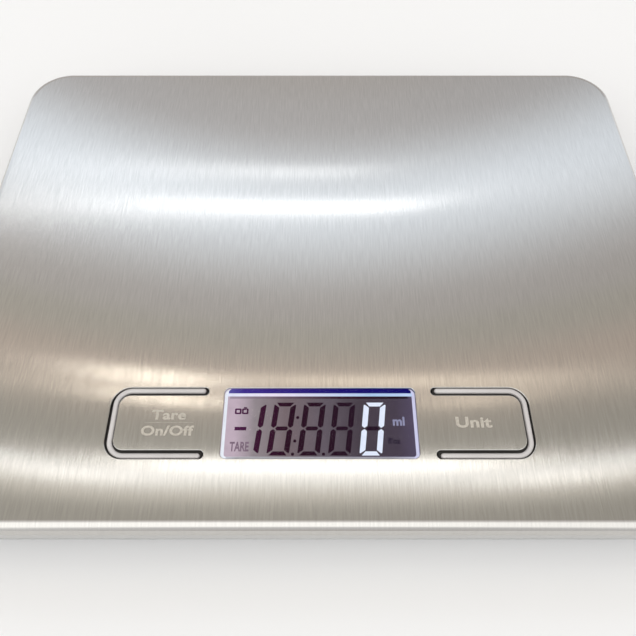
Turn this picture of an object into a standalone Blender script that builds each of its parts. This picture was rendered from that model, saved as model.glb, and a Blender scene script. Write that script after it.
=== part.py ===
"""Flat electronic kitchen scale with a one-piece stainless platform.

Metres, +Z up. The origin is under the middle of the platform, on the surface that the scale
stands on. The display and the two buttons are near the front edge, toward -Y.
"""
import math

import bmesh
import bpy
from mathutils import Matrix

# Overall size
WIDTH = 0.210
DEPTH = 0.162
HEIGHT = 0.020
GAP = 0.0003                    # clearance between pieces that touch
SINK = 0.0002                   # how far an added feature runs into the piece that it grows from
PAST = 0.001                    # how far a cutter runs past the piece that it cuts

# Steel cover
STEEL = 0.0006
COVER_BOTTOM = 0.0110
COVER_RADIUS = 0.014
ROLL_RADIUS = 0.003
STEEL_UNDERSIDE = HEIGHT - STEEL

# Display, measured from its own centre
DISPLAY_Y = -0.054
WINDOW = (0.0501, 0.0188)
WINDOW_RADIUS = 0.0015
LENS_FLANGE = (0.0540, 0.0225)
GLASS = (0.0566, 0.0244)
GLASS_PLAY = 0.0008             # how much the bezel's opening is larger than the glass
BEZEL = (0.0630, 0.0280)
LENS_BOTTOM = 0.0183
LENS_STEP = 0.0191
LENS_TOP = HEIGHT - GAP
GLASS_BOTTOM = 0.0161
GLASS_TOP = 0.0180
BACKLIGHT_BOTTOM = 0.0131
BACKLIGHT_TOP = GLASS_BOTTOM - GAP
BACKLIGHT_HALF = 0.0270
BACKLIGHT_Y = (-0.0096, 0.0116)
ZEBRA_HALF = 0.0255
ZEBRA_Y = (-0.0120, -0.0101)

# Buttons: steel tongues freed by C-shaped slots that open toward the display
BUTTON_ROOT = 0.0292
SLOT_FAR = 0.0546
SLOT_HALF = 0.0095
SLOT_WIDTH = 0.0022
SLOT_RADIUS = 0.0050
RIB_WIDTH = 0.0012
RIB_END = 0.0304
RIB_TOP = 0.01975
RIB_OFFSET = 0.00015            # how much nearer the rib lies to the slot's long outer edges
RIB_SHIFT = 0.0002              # how far the whole rib sits toward the rear
FLANGE_WIDTH = 0.0052
FLANGE_END = 0.0360
FLANGE_BOTTOM = 0.0170
FLANGE_TOP = 0.0189
SWITCH_X = 0.0440
SWITCH_SIZE = 0.0062
SWITCH_TOP = 0.0166
WELL_BOTTOM = 0.0149
WELL_PLAY = 0.00035
PLUNGER_RADIUS = 0.00175
PLUNGER_BOTTOM = 0.0154
PLUNGER_TOP = 0.0176
POST_RADIUS = 0.0020
POST_BOTTOM = PLUNGER_TOP + GAP
POST_PAD_RADIUS = 0.0050
POST_PAD_BOTTOM = 0.0186

# Circuit board
BOARD = (0.120, 0.029)
BOARD_BOTTOM = 0.0112
BOARD_TOP = 0.0128
BOARD_HOLE_X = 0.0565
BOARD_HOLE_Y = 0.0115           # from the board's centre line
BOARD_SCREWS = ((-1, -1), (1, 1))
BOARD_PINS = ((-1, 1), (1, -1))
CHIP_X = (0.010, 0.020)
CHIP_HALF_Y = 0.005
CHIP_HEIGHT = 0.0014

# Plastic base
BASE = (0.2076, 0.1596)
BASE_BOTTOM = 0.0040
BASE_TOP = 0.0163
BASE_RADIUS = 0.0128
BASE_EDGE = 0.0032
WALL = 0.0020
FLOOR_TOP = BASE_BOTTOM + WALL
SCREW_BOSS_RADIUS = 0.0034
SCREW_BOSS_TOP = 0.0110
BOARD_POST_RADIUS = 0.0028
BOARD_PIN_RADIUS = 0.0011
BOARD_PIN_RISE = 0.0004

# Plastic frame glued under the steel
FRAME = (0.2066, 0.1586)
FRAME_RADIUS = 0.0123
FRAME_BOTTOM = 0.01665
FRAME_TOP = 0.01845
FRAME_OPENING = (0.118, 0.030)
RIM_PLAY = 0.0004               # between the frame's rim and the base's wall
STIFFENER_BOTTOM = 0.0140
STIFFENER_THICKNESS = 0.0012
LONG_STIFFENERS = (-0.058, 0.058)
LONG_STIFFENER_Y = (-0.0300, 0.0768)
CROSS_STIFFENERS = (-0.028, 0.045)
CROSS_STIFFENER_HALF = 0.1007
FRAME_BOSS_RADIUS = 0.0030
FRAME_BOSS_BOTTOM = 0.0113
FRAME_BORE = (0.0100, 0.0160)
ADHESIVE = (0.198, 0.150)
ADHESIVE_OPENING = (0.120, 0.031)

# Feet and load cells
FOOT_X = 0.084
FOOT_Y = 0.060
FOOT_HOLE_RADIUS = 0.0106
FOOT_CUP = ((0.0, 0.0084), (0.0040, 0.0084), (0.0040, 0.0072), (0.0112, 0.0072),
            (0.0112, 0.0063), (0.0102, 0.0063), (0.0102, 0.0016), (0.0097, 0.0010),
            (0.0090, 0.0010), (0.0090, 0.0022), (0.0, 0.0022))
FOOT_PAD = ((0.0, 0.0019), (0.0087, 0.0019), (0.0087, 0.0005), (0.0082, 0.0), (0.0, 0.0))
CELL_SIZE = 0.027
CELL_BOTTOM = 0.0094
CELL_TOP = 0.0110
CELL_SLOT_END = -0.0040         # the C-shaped slot that frees the cell's measuring beam
CELL_SLOT_FAR = 0.0075
CELL_SLOT_HALF = 0.0070
CELL_SLOT_RADIUS = 0.0018
CELL_SLOT_WIDTH = 0.0014
CELL_SEAT = (0.0260, 0.0234)    # outer and inner side of the square ledge under a cell
RETAINER_OFFSET = 0.012
RETAINER_HALF = 0.010
GAUGE_HALF = (0.003, 0.002)
GAUGE_THICKNESS = 0.0004
CORNERS = {
    "front_left": (-1, -1),
    "front_right": (1, -1),
    "rear_left": (-1, 1),
    "rear_right": (1, 1),
}

# Battery pocket for two AAA cells
POCKET_Y = 0.018
POCKET = (0.0540, 0.0236)
POCKET_WALL = 0.0012
POCKET_PLAY = 0.0006            # between the pocket's shell and the frame
POCKET_ROOF = 0.0170
BATTERY_RADIUS = 0.00525
BATTERY_END_RADIUS = 0.0044
BATTERY_LENGTH = 0.0445
BATTERY_TIP_RADIUS = 0.0019
BATTERY_TIP = 0.0008
BATTERY_CHAMFER = 0.0012
BATTERY_SHIFT = 0.0036          # each battery lies nearer to its flat contact
BATTERY_PITCH = 0.0112
BATTERY_Z = 0.0115
DOOR_FRONT = -0.0010
DOOR_REAR = 0.0335
DOOR_WIDTH = 0.062
DOOR_BOTTOM = 0.00405
DOOR_TOP = 0.0053
RECESS_TOP = 0.0056
RECESS_MARGIN = 0.00035
LANDING = (0.070, 0.0430)
LANDING_Y = 0.0162
LANDING_TOP = 0.0072
CATCH_SLOT_BOTTOM = 0.0050      # the slots that the cover's tabs and the latch's hook reach into
CATCH_SLOT_TOP = 0.0090
TAB_X = 0.019
TAB_WIDTH = 0.006
TAB_BOTTOM = 0.0056
TAB_TOP = 0.0067
TAB_REACH = 0.0018
TAB_RISER = 0.0016
TAB_PLAY = 0.0005
TAB_SLOT_FRONT = 0.0040         # how far the tabs' slots open in front of the door's rear edge
LATCH_WIDTH = 0.012
LATCH_DEPTH = 0.0024
LATCH_PLAY = 0.0006
LATCH_TOP = 0.0074
LATCH_WELL = (-0.0075, 0.0075)
LATCH_WELL_Y = (0.0002, 0.0045)
LATCH_NOTCH_REAR = 0.0030
LATCH_ROOT_Y = (0.0031, 0.0039)
LATCH_LEAF = (0.0014, 0.0022)   # from the latch's front, as the hook's reach is
LATCH_HOOK = (-0.0001, 0.0016)
HOOK_SLOT = (-0.0012, 0.0020)
HOOK_BOTTOM = 0.0056
HOOK_TOP = 0.0064
CONTACT_THICKNESS = 0.0004
CONTACT_HALF = 0.0046
CONTACT_Z = (0.0070, 0.0160)
SPRING_TURNS = 3
SPRING_STEPS = 10               # points in each turn
SPRING_LENGTH = 0.0068
SPRING_RADII = (0.0036, 0.0022)
SPRING_WIRE = 0.0003
WIRE_START = (POCKET[0] / 2 + GAP / 3, 0.0300)
WIRE_HOLE_RADIUS = 0.0012

# Screws
SCREW_SHANK = 0.0011
TIP_TAPER = 0.0008
SCREW_BORE = 0.00145
HEAD_BORE = 0.0027
HEAD_SEAT = 0.0069
HEAD_UNDERSIDE = 0.0066
CASE_SCREW = (0.0023, 0.0015, 0.0086)       # head radius, head height, shank length
BOARD_SCREW = (0.0021, 0.0012, 0.0048)
RECESS_ARM = 0.00028            # half the width of a screw's cross recess
CASE_SCREWS = ((-0.095, 0.005), (0.095, 0.005), (-0.040, 0.073),
               (0.040, 0.073), (-0.063, -0.0735), (0.063, -0.0735))


def new_collection(name):
    collection = bpy.data.collections.new(name)
    bpy.context.scene.collection.children.link(collection)
    return collection


for leftover in list(bpy.data.objects):
    bpy.data.objects.remove(leftover)
SCALE = new_collection("kitchen_scale")
CUTTERS = new_collection("cutters")


# ---------------------------------------------------------------- materials

def material(name, colour, roughness, metallic=0.0):
    made = bpy.data.materials.new(name)
    made.use_nodes = True
    shader = made.node_tree.nodes["Principled BSDF"]
    shader.inputs["Base Color"].default_value = (*colour, 1.0)
    shader.inputs["Roughness"].default_value = roughness
    shader.inputs["Metallic"].default_value = metallic
    return made


STAINLESS = material("brushed_stainless", (0.60, 0.58, 0.55), 0.32, 1.0)
GREY_RUBBER = material("slot_rib_grey", (0.60, 0.58, 0.57), 0.55)
CLEAR = material("display_window", (0.86, 0.88, 0.92), 0.08)
LCD = material("lcd_glass", (0.45, 0.40, 0.46), 0.15)
GLOW = material("backlight", (0.80, 0.86, 1.00), 0.40)
BLACK_PLASTIC = material("black_plastic", (0.03, 0.03, 0.03), 0.45)
GREY_PLASTIC = material("base_plastic", (0.24, 0.24, 0.25), 0.50)
FRAME_PLASTIC = material("frame_plastic", (0.70, 0.70, 0.69), 0.50)
GREEN_BOARD = material("circuit_board", (0.05, 0.25, 0.10), 0.40)
SPRING_STEEL = material("plated_steel", (0.66, 0.66, 0.68), 0.28, 1.0)
SCREW_STEEL = material("zinc_screw", (0.55, 0.55, 0.56), 0.32, 1.0)
SOFT_RUBBER = material("foot_rubber", (0.06, 0.06, 0.06), 0.75)
TAPE = material("adhesive_sheet", (0.85, 0.84, 0.78), 0.80)
RED_WIRE = material("red_wire", (0.55, 0.03, 0.03), 0.45)
BLACK_WIRE = material("black_wire", (0.03, 0.03, 0.03), 0.45)
WHITE_WIRE = material("white_wire", (0.80, 0.80, 0.78), 0.45)
BATTERY_SKIN = material("battery_jacket", (0.05, 0.12, 0.30), 0.35)


# ---------------------------------------------------------------- outlines

def arc(centre_x, centre_y, radius, start, stop, steps):
    """Points on an arc between two angles in degrees."""
    points = []
    for step in range(steps + 1):
        angle = math.radians(start + (stop - start) * step / steps)
        points.append((centre_x + radius * math.cos(angle), centre_y + radius * math.sin(angle)))
    return points


def rounded_rectangle(size, radius, centre=(0.0, 0.0), steps=4):
    half_x = size[0] / 2 - radius
    half_y = size[1] / 2 - radius
    points = []
    for quarter, (side_x, side_y) in enumerate(((1, 1), (-1, 1), (-1, -1), (1, -1))):
        points += arc(centre[0] + side_x * half_x, centre[1] + side_y * half_y, radius,
                      90 * quarter, 90 * quarter + 90, steps)
    return points


def rectangle(low_x, low_y, high_x, high_y):
    return [(low_x, low_y), (high_x, low_y), (high_x, high_y), (low_x, high_y)]


def channel(end_x, far_x, half_height, radius, width, side, steps=5):
    """A C-shaped strip with round ends, open toward the display; radius is its centre line's."""
    bend_x = far_x - radius
    bend_y = half_height - radius
    outer = radius + width / 2
    inner = radius - width / 2
    points = arc(bend_x, bend_y, outer, 90, 0, steps)
    points += arc(bend_x, -bend_y, outer, 0, -90, steps)
    points += arc(end_x, -half_height, width / 2, -90, -270, steps)
    points += arc(bend_x, -bend_y, inner, -90, 0, steps)
    points += arc(bend_x, bend_y, inner, 0, 90, steps)
    points += arc(end_x, half_height, width / 2, -90, -270, steps)
    return [(side * x, DISPLAY_Y + y) for x, y in points]


def tongue_outline(far_x, half_height, radius, side, root):
    """A flat strip square at its root and rounded at its free end."""
    points = [(root, -half_height)]
    points += arc(far_x - radius, -half_height + radius, radius, -90, 0, 5)
    points += arc(far_x - radius, half_height - radius, radius, 0, 90, 5)
    points += [(root, half_height)]
    return [(side * x, DISPLAY_Y + y) for x, y in points]


# ---------------------------------------------------------------- building blocks

def place(obj, finish):
    """File a finished piece with the scale's parts."""
    SCALE.objects.link(obj)
    obj.data.materials.clear()
    obj.data.materials.append(finish)


def carry(name, point, *pieces):
    """An empty on a joint's axis, which carries the pieces that move about it or along it."""
    axis = bpy.data.objects.new(name, None)
    axis.empty_display_size = 0.005
    axis.location = point
    SCALE.objects.link(axis)
    for piece in pieces:
        piece.parent = axis
        piece.matrix_parent_inverse = Matrix.Translation(point).inverted()
    return axis


def mesh_object(name, mesh_builder):
    mesh = bpy.data.meshes.new(name)
    mesh_builder.to_mesh(mesh)
    mesh_builder.free()
    return bpy.data.objects.new(name, mesh)


def close_mesh(obj):
    """Weld an object's loose caps and turn its faces outward."""
    builder = bmesh.new()
    builder.from_mesh(obj.data)
    bmesh.ops.remove_doubles(builder, verts=builder.verts, dist=1e-6)
    bmesh.ops.recalc_face_normals(builder, faces=builder.faces)
    builder.to_mesh(obj.data)
    builder.free()


def evaluated_copy(obj):
    """A plain mesh object made of another object's evaluated shape, which it takes the place of."""
    bpy.context.view_layer.update()
    graph = bpy.context.evaluated_depsgraph_get()
    mesh = bpy.data.meshes.new_from_object(obj.evaluated_get(graph))
    name = obj.name
    world = obj.matrix_world.copy()
    bpy.data.objects.remove(obj)
    copy = bpy.data.objects.new(name, mesh)
    copy.matrix_world = world
    return copy


def solid_from_curve(name, curve, height=0.0):
    guide = bpy.data.objects.new(name, curve)
    guide.location.z = height
    CUTTERS.objects.link(guide)
    solid = evaluated_copy(guide)
    close_mesh(solid)
    return solid


def prism(name, outlines, bottom, top):
    """Flat outlines extruded between two heights; the first is the outside, the rest are holes."""
    curve = bpy.data.curves.new(name, "CURVE")
    curve.dimensions = "2D"
    curve.fill_mode = "BOTH"
    curve.extrude = (top - bottom) / 2
    for outline in outlines:
        spline = curve.splines.new("POLY")
        spline.points.add(len(outline) - 1)
        for point, (x, y) in zip(spline.points, outline):
            point.co = (x, y, 0.0, 1.0)
        spline.use_cyclic_u = True
    return solid_from_curve(name, curve, (bottom + top) / 2)


def box(name, low, high):
    builder = bmesh.new()
    bmesh.ops.create_cube(builder, size=1.0)
    size = [top - bottom for bottom, top in zip(low, high)]
    middle = [(top + bottom) / 2 for bottom, top in zip(low, high)]
    bmesh.ops.scale(builder, vec=size, verts=builder.verts)
    bmesh.ops.translate(builder, vec=middle, verts=builder.verts)
    return mesh_object(name, builder)


def cylinder(name, radius, bottom, top, x=0.0, y=0.0, sides=24):
    builder = bmesh.new()
    bmesh.ops.create_cone(builder, cap_ends=True, segments=sides, radius1=radius, radius2=radius,
                          depth=top - bottom)
    bmesh.ops.translate(builder, vec=(x, y, (bottom + top) / 2), verts=builder.verts)
    return mesh_object(name, builder)


def turned(name, profile, sides):
    """A profile of (radius, height) points, from the top down the outer side, turned about Z."""
    builder = bmesh.new()
    points = [builder.verts.new((radius, 0.0, height)) for radius, height in profile]
    for first, second in zip(points, points[1:]):
        builder.edges.new((first, second))
    obj = mesh_object(name, builder)
    screw = obj.modifiers.new("turn", "SCREW")
    screw.steps = sides
    screw.render_steps = sides
    screw.use_merge_vertices = True
    screw.merge_threshold = 1e-6
    return obj


def tube(name, points, radius):
    """A round wire along a smooth curve through hand-placed points."""
    curve = bpy.data.curves.new(name, "CURVE")
    curve.dimensions = "3D"
    curve.bevel_depth = radius
    curve.bevel_resolution = 1
    curve.use_fill_caps = True
    route = smooth_route(points, 3)
    spline = curve.splines.new("POLY")
    spline.points.add(len(route) - 1)
    for point, place_at in zip(spline.points, route):
        point.co = (*place_at, 1.0)
    return bpy.data.objects.new(name, curve)


def smooth_route(points, steps):
    """Catmull-Rom points through a route's own points."""
    padded = [points[0], *points, points[-1]]
    route = []
    for before, start, stop, after in zip(padded, padded[1:], padded[2:], padded[3:]):
        for step in range(steps):
            t = step / steps
            route.append(tuple(
                0.5 * (2 * b + (c - a) * t + (2 * a - 5 * b + 4 * c - d) * t ** 2
                       + (3 * b - a - 3 * c + d) * t ** 3)
                for a, b, c, d in zip(before, start, stop, after)))
    route.append(points[-1])
    return route


def combine(target, operation, *tools):
    """Cut tools out of a piece, or add them to it."""
    for tool in tools:
        CUTTERS.objects.link(tool)
        tool.hide_render = True
        tool.display_type = "WIRE"
        change = target.modifiers.new(operation.lower(), "BOOLEAN")
        change.operation = operation
        change.object = tool
    return target


def tray(name, size, bottom, top, plan_radius, edge_radius, thickness, open_below):
    """A thin-walled tray with rounded corners and a rolled edge, open below or above."""
    builder = bmesh.new()
    bmesh.ops.create_cube(builder, size=1.0)
    bmesh.ops.scale(builder, vec=(*size, top - bottom), verts=builder.verts)
    bmesh.ops.translate(builder, vec=(0, 0, (bottom + top) / 2), verts=builder.verts)
    middle = (bottom + top) / 2
    upright = [edge for edge in builder.edges
               if (edge.verts[0].co.z - middle) * (edge.verts[1].co.z - middle) < 0]
    bmesh.ops.bevel(builder, geom=upright, offset=plan_radius, segments=7, profile=0.5,
                    affect="EDGES")
    side = 1 if open_below else -1
    mouth = [face for face in builder.faces
             if all((vert.co.z - middle) * side < 0 for vert in face.verts)]
    bmesh.ops.delete(builder, geom=mouth, context="FACES")
    rim = [edge for edge in builder.edges
           if all((vert.co.z - middle) * side > 0 for vert in edge.verts)]
    bmesh.ops.bevel(builder, geom=rim, offset=edge_radius, segments=4, profile=0.5,
                    affect="EDGES")
    obj = mesh_object(name, builder)
    wall = obj.modifiers.new("wall", "SOLIDIFY")
    wall.thickness = thickness
    wall.offset = -1.0
    wall.use_even_offset = True
    return obj


def smooth(obj):
    obj.data.shade_smooth()
    obj.data.set_sharp_from_angle(angle=math.radians(35))


# ---------------------------------------------------------------- steel platform

def make_cover():
    """The stainless sheet, folded down all round, with the window and the two button openings."""
    cover = tray("steel_cover", (WIDTH, DEPTH), COVER_BOTTOM, HEIGHT, COVER_RADIUS, ROLL_RADIUS,
                 STEEL, open_below=True)
    below = STEEL_UNDERSIDE - 2 * STEEL
    above = HEIGHT + 2 * STEEL
    window = prism("window_cutter", [rounded_rectangle(WINDOW, WINDOW_RADIUS, (0, DISPLAY_Y), 5)],
                   below, above)
    slots = [prism("button_cutter", [tongue_outline(SLOT_FAR, SLOT_HALF, SLOT_RADIUS, side,
                                                     BUTTON_ROOT)], below, above)
             for side in (-1, 1)]
    combine(cover, "DIFFERENCE", window, *slots)
    place(cover, STAINLESS)


def make_button(name, side):
    """A steel tongue: it bends about its root beside the display when its free end is pressed."""
    outline = tongue_outline(SLOT_FAR - SLOT_WIDTH, SLOT_HALF - SLOT_WIDTH,
                             SLOT_RADIUS - SLOT_WIDTH, side, BUTTON_ROOT + GAP)
    place(prism(name, [outline], STEEL_UNDERSIDE, HEIGHT), STAINLESS)


def make_slot_rib(name, side):
    """The grey C-shaped rib that fills a slot, on a wider flange under the steel."""
    far = SLOT_FAR - SLOT_WIDTH / 2
    half = SLOT_HALF - SLOT_WIDTH / 2 + RIB_OFFSET
    radius = SLOT_RADIUS - SLOT_WIDTH / 2
    outline = [(x, y + RIB_SHIFT) for x, y in channel(RIB_END, far, half, radius, RIB_WIDTH, side)]
    rib = prism(name, [outline], FLANGE_TOP - SINK, RIB_TOP)
    spread = (FLANGE_WIDTH - RIB_WIDTH) / 2
    under = channel(FLANGE_END, far + spread, half + spread, radius + spread, FLANGE_WIDTH, side)
    flange = prism(name + "_flange", [under], FLANGE_BOTTOM, FLANGE_TOP)
    place(combine(rib, "UNION", flange), GREY_RUBBER)


def make_button_post(name, side):
    """Plastic post glued under a tongue, which presses the switch below."""
    top = STEEL_UNDERSIDE - GAP
    profile = ((0.0, top), (POST_PAD_RADIUS, top), (POST_PAD_RADIUS, POST_PAD_BOTTOM),
               (POST_RADIUS, POST_PAD_BOTTOM), (POST_RADIUS, POST_BOTTOM), (0.0, POST_BOTTOM))
    post = turned(name, profile, 24)
    post.location = (side * SWITCH_X, DISPLAY_Y, 0.0)
    place(post, BLACK_PLASTIC)


# ---------------------------------------------------------------- display

def make_display():
    centre = (0.0, DISPLAY_Y)
    face = tuple(size - 2 * GAP for size in WINDOW)
    lens = prism("display_window", [rounded_rectangle(face, WINDOW_RADIUS - GAP, centre, 5)],
                 LENS_STEP - SINK, LENS_TOP)
    flange = prism("lens_flange", [rounded_rectangle(LENS_FLANGE, 0.001, centre, 2)],
                   LENS_BOTTOM, LENS_STEP)
    place(combine(lens, "UNION", flange), CLEAR)
    place(prism("lcd_glass", [rounded_rectangle(GLASS, 0.0003, centre, 1)], GLASS_BOTTOM,
                GLASS_TOP), LCD)
    ring = (rounded_rectangle(BEZEL, 0.0015, centre, 3),
            rounded_rectangle([size + GLASS_PLAY for size in GLASS], 0.0004, centre, 1))
    place(prism("lcd_bezel", ring, BACKLIGHT_BOTTOM, GLASS_TOP), BLACK_PLASTIC)
    for name, half, (front, rear), finish in (
            ("lcd_backlight", BACKLIGHT_HALF, BACKLIGHT_Y, GLOW),
            ("zebra_strip", ZEBRA_HALF, ZEBRA_Y, SOFT_RUBBER)):
        place(box(name, (-half, DISPLAY_Y + front, BACKLIGHT_BOTTOM),
                  (half, DISPLAY_Y + rear, BACKLIGHT_TOP)), finish)


# ---------------------------------------------------------------- electronics

def make_board():
    holes = []
    for side_x in (-1, 1):
        for side_y in (-1, 1):
            holes.append(arc(side_x * BOARD_HOLE_X, DISPLAY_Y + side_y * BOARD_HOLE_Y,
                             SCREW_BORE, 0, 330, 11))
    outline = rounded_rectangle(BOARD, 0.001, (0.0, DISPLAY_Y), 2)
    place(prism("main_board", [outline, *holes], BOARD_BOTTOM, BOARD_TOP), GREEN_BOARD)
    chip_top = BOARD_BOTTOM - GAP
    chip_low = (CHIP_X[0], DISPLAY_Y - CHIP_HALF_Y, chip_top - CHIP_HEIGHT)
    chip_high = (CHIP_X[1], DISPLAY_Y + CHIP_HALF_Y, chip_top)
    place(box("controller_chip", chip_low, chip_high), BLACK_PLASTIC)


def make_switch(name, side):
    """A tact switch: a square body on the board and a round plunger that dips into it."""
    half = SWITCH_SIZE / 2
    x = side * SWITCH_X
    body = box(name, (x - half, DISPLAY_Y - half, BOARD_TOP + GAP),
               (x + half, DISPLAY_Y + half, SWITCH_TOP))
    well = cylinder("switch_well", PLUNGER_RADIUS + WELL_PLAY, WELL_BOTTOM, SWITCH_TOP + PAST,
                    x, DISPLAY_Y, 20)
    place(combine(body, "DIFFERENCE", well), BLACK_PLASTIC)
    place(cylinder(name + "_plunger", PLUNGER_RADIUS, PLUNGER_BOTTOM, PLUNGER_TOP, x, DISPLAY_Y,
                   20), FRAME_PLASTIC)


# ---------------------------------------------------------------- plastic frame and base

def corner_places():
    return [(side_x * FOOT_X, side_y * FOOT_Y) for side_x, side_y in CORNERS.values()]


def make_frame():
    """The plate glued under the steel, with its stiffening ribs, screw bosses and cell retainers."""
    pocket = [size + 2 * (POCKET_WALL + POCKET_PLAY) for size in POCKET]
    plate = prism("upper_frame", [
        rounded_rectangle(FRAME, FRAME_RADIUS, steps=5),
        rounded_rectangle(FRAME_OPENING, 0.002, (0.0, DISPLAY_Y), 2),
        rounded_rectangle(pocket, 0.001, (0.0, POCKET_Y), 1),
    ], FRAME_BOTTOM, FRAME_TOP)
    into_plate = FRAME_BOTTOM + SINK
    half = STIFFENER_THICKNESS / 2
    outer = [size - 2 * (WALL + RIM_PLAY) for size in BASE]
    inner = [size - 2 * STIFFENER_THICKNESS for size in outer]
    radius = BASE_RADIUS - WALL - RIM_PLAY
    additions = [prism("frame_rim", [
        rounded_rectangle(outer, radius, steps=5),
        rounded_rectangle(inner, radius - STIFFENER_THICKNESS, steps=5),
    ], STIFFENER_BOTTOM, into_plate)]
    for x in LONG_STIFFENERS:
        additions.append(box("long_stiffener", (x - half, LONG_STIFFENER_Y[0], STIFFENER_BOTTOM),
                             (x + half, LONG_STIFFENER_Y[1], into_plate)))
    for y in CROSS_STIFFENERS:
        additions.append(box("cross_stiffener",
                             (-CROSS_STIFFENER_HALF, y - half, STIFFENER_BOTTOM),
                             (CROSS_STIFFENER_HALF, y + half, into_plate)))
    for x, y in corner_places():
        for middle in (y - RETAINER_OFFSET, y + RETAINER_OFFSET):
            additions.append(box("cell_retainer",
                                 (x - RETAINER_HALF, middle - half, CELL_TOP + GAP),
                                 (x + RETAINER_HALF, middle + half, into_plate)))
    for x, y in CASE_SCREWS:
        additions.append(cylinder("frame_boss", FRAME_BOSS_RADIUS, FRAME_BOSS_BOTTOM, into_plate,
                                  x, y, 16))
    combine(plate, "UNION", *additions)
    bores = [cylinder("boss_bore", SCREW_BORE, *FRAME_BORE, x, y, 12) for x, y in CASE_SCREWS]
    place(combine(plate, "DIFFERENCE", *bores), FRAME_PLASTIC)


def make_adhesive():
    sheet = prism("adhesive_sheet", [
        rounded_rectangle(ADHESIVE, 0.010, steps=3),
        rounded_rectangle(ADHESIVE_OPENING, 0.002, (0.0, DISPLAY_Y), 2),
    ], FRAME_TOP + GAP, STEEL_UNDERSIDE - GAP)
    place(sheet, TAPE)


def door_outline(margin):
    """The battery cover's outline, or with a margin the recess that it lies in."""
    size = (DOOR_WIDTH + 2 * margin, DOOR_REAR - DOOR_FRONT + 2 * margin)
    return rounded_rectangle(size, 0.0025 + margin, (0.0, (DOOR_REAR + DOOR_FRONT) / 2), 3)


def make_base():
    """The tray that carries board, cells and batteries, with the door recess below."""
    base = tray("base_shell", BASE, BASE_BOTTOM, BASE_TOP, BASE_RADIUS, BASE_EDGE, WALL,
                open_below=False)
    sunk = FLOOR_TOP - SINK
    centre = (0.0, POCKET_Y)
    shell = [size + 2 * POCKET_WALL for size in POCKET]
    additions = [
        prism("landing", [rounded_rectangle(LANDING, 0.002, (0.0, LANDING_Y), 2)],
              sunk, LANDING_TOP),
        prism("pocket_shell", [rounded_rectangle(shell, 0.0015, centre, 2)],
              sunk, POCKET_ROOF + POCKET_WALL),
    ]
    for place_at in corner_places():
        seat = [rounded_rectangle((side, side), 0.001, place_at, 1) for side in CELL_SEAT]
        additions.append(prism("cell_seat", seat, sunk, CELL_BOTTOM - GAP))
    for x, y in CASE_SCREWS:
        additions.append(cylinder("screw_boss", SCREW_BOSS_RADIUS, sunk, SCREW_BOSS_TOP, x, y, 16))
    for side_x, side_y in BOARD_SCREWS + BOARD_PINS:
        x = side_x * BOARD_HOLE_X
        y = DISPLAY_Y + side_y * BOARD_HOLE_Y
        additions.append(cylinder("board_post", BOARD_POST_RADIUS, sunk, BOARD_BOTTOM - GAP,
                                  x, y, 16))
        if (side_x, side_y) in BOARD_PINS:
            additions.append(cylinder("board_pin", BOARD_PIN_RADIUS, sunk,
                                      BOARD_TOP + BOARD_PIN_RISE, x, y, 12))
    combine(base, "UNION", *additions)
    place(combine(base, "DIFFERENCE", *battery_cutters(), *fixing_cutters()), GREY_PLASTIC)


def battery_cutters():
    """The door's recess, the cells' pocket, the latch's room and the slots for its catches."""
    below = BASE_BOTTOM - PAST
    hook_half = LATCH_WIDTH / 2 + LATCH_PLAY
    cutters = [
        prism("door_recess", [door_outline(RECESS_MARGIN)], below, RECESS_TOP),
        prism("pocket_space", [rounded_rectangle(POCKET, 0.0006, (0.0, POCKET_Y), 1)], below,
              POCKET_ROOF),
        box("latch_well", (LATCH_WELL[0], LATCH_WELL_Y[0], BASE_BOTTOM),
            (LATCH_WELL[1], LATCH_WELL_Y[1], LANDING_TOP + PAST)),
        box("hook_slot", (-hook_half, DOOR_FRONT + HOOK_SLOT[0], CATCH_SLOT_BOTTOM),
            (hook_half, DOOR_FRONT + HOOK_SLOT[1], CATCH_SLOT_TOP)),
    ]
    for x in (-TAB_X, TAB_X):
        half = TAB_WIDTH / 2 + TAB_PLAY
        cutters.append(box("tab_slot", (x - half, DOOR_REAR - TAB_SLOT_FRONT, CATCH_SLOT_BOTTOM),
                           (x + half, DOOR_REAR + TAB_REACH + LATCH_PLAY, CATCH_SLOT_TOP)))
    return cutters


def fixing_cutters():
    """Holes through the base for the feet, the screws and the battery wires."""
    below = BASE_BOTTOM - PAST
    cutters = []
    for x, y in corner_places():
        cutters.append(cylinder("foot_hole", FOOT_HOLE_RADIUS, below, FLOOR_TOP + PAST, x, y, 32))
    for x, y in CASE_SCREWS:
        cutters.append(cylinder("screw_bore", SCREW_BORE, BASE_BOTTOM, SCREW_BOSS_TOP + PAST,
                                x, y, 12))
        cutters.append(cylinder("head_bore", HEAD_BORE, below, HEAD_SEAT, x, y, 16))
    for side_x, side_y in BOARD_SCREWS:
        cutters.append(cylinder("board_screw_bore", SCREW_BORE, FLOOR_TOP + 0.0006,
                                BOARD_BOTTOM + PAST, side_x * BOARD_HOLE_X,
                                DISPLAY_Y + side_y * BOARD_HOLE_Y, 12))
    for y in (POCKET_Y - BATTERY_PITCH / 2, POCKET_Y + BATTERY_PITCH / 2):
        passage = cylinder("wire_hole", WIRE_HOLE_RADIUS, -0.003, 0.003, sides=12)
        passage.matrix_world = (Matrix.Translation((POCKET[0] / 2 + POCKET_WALL / 2, y, BATTERY_Z))
                                @ Matrix.Rotation(math.radians(90), 4, "Y"))
        cutters.append(passage)
    return cutters


# ---------------------------------------------------------------- battery door

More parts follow.
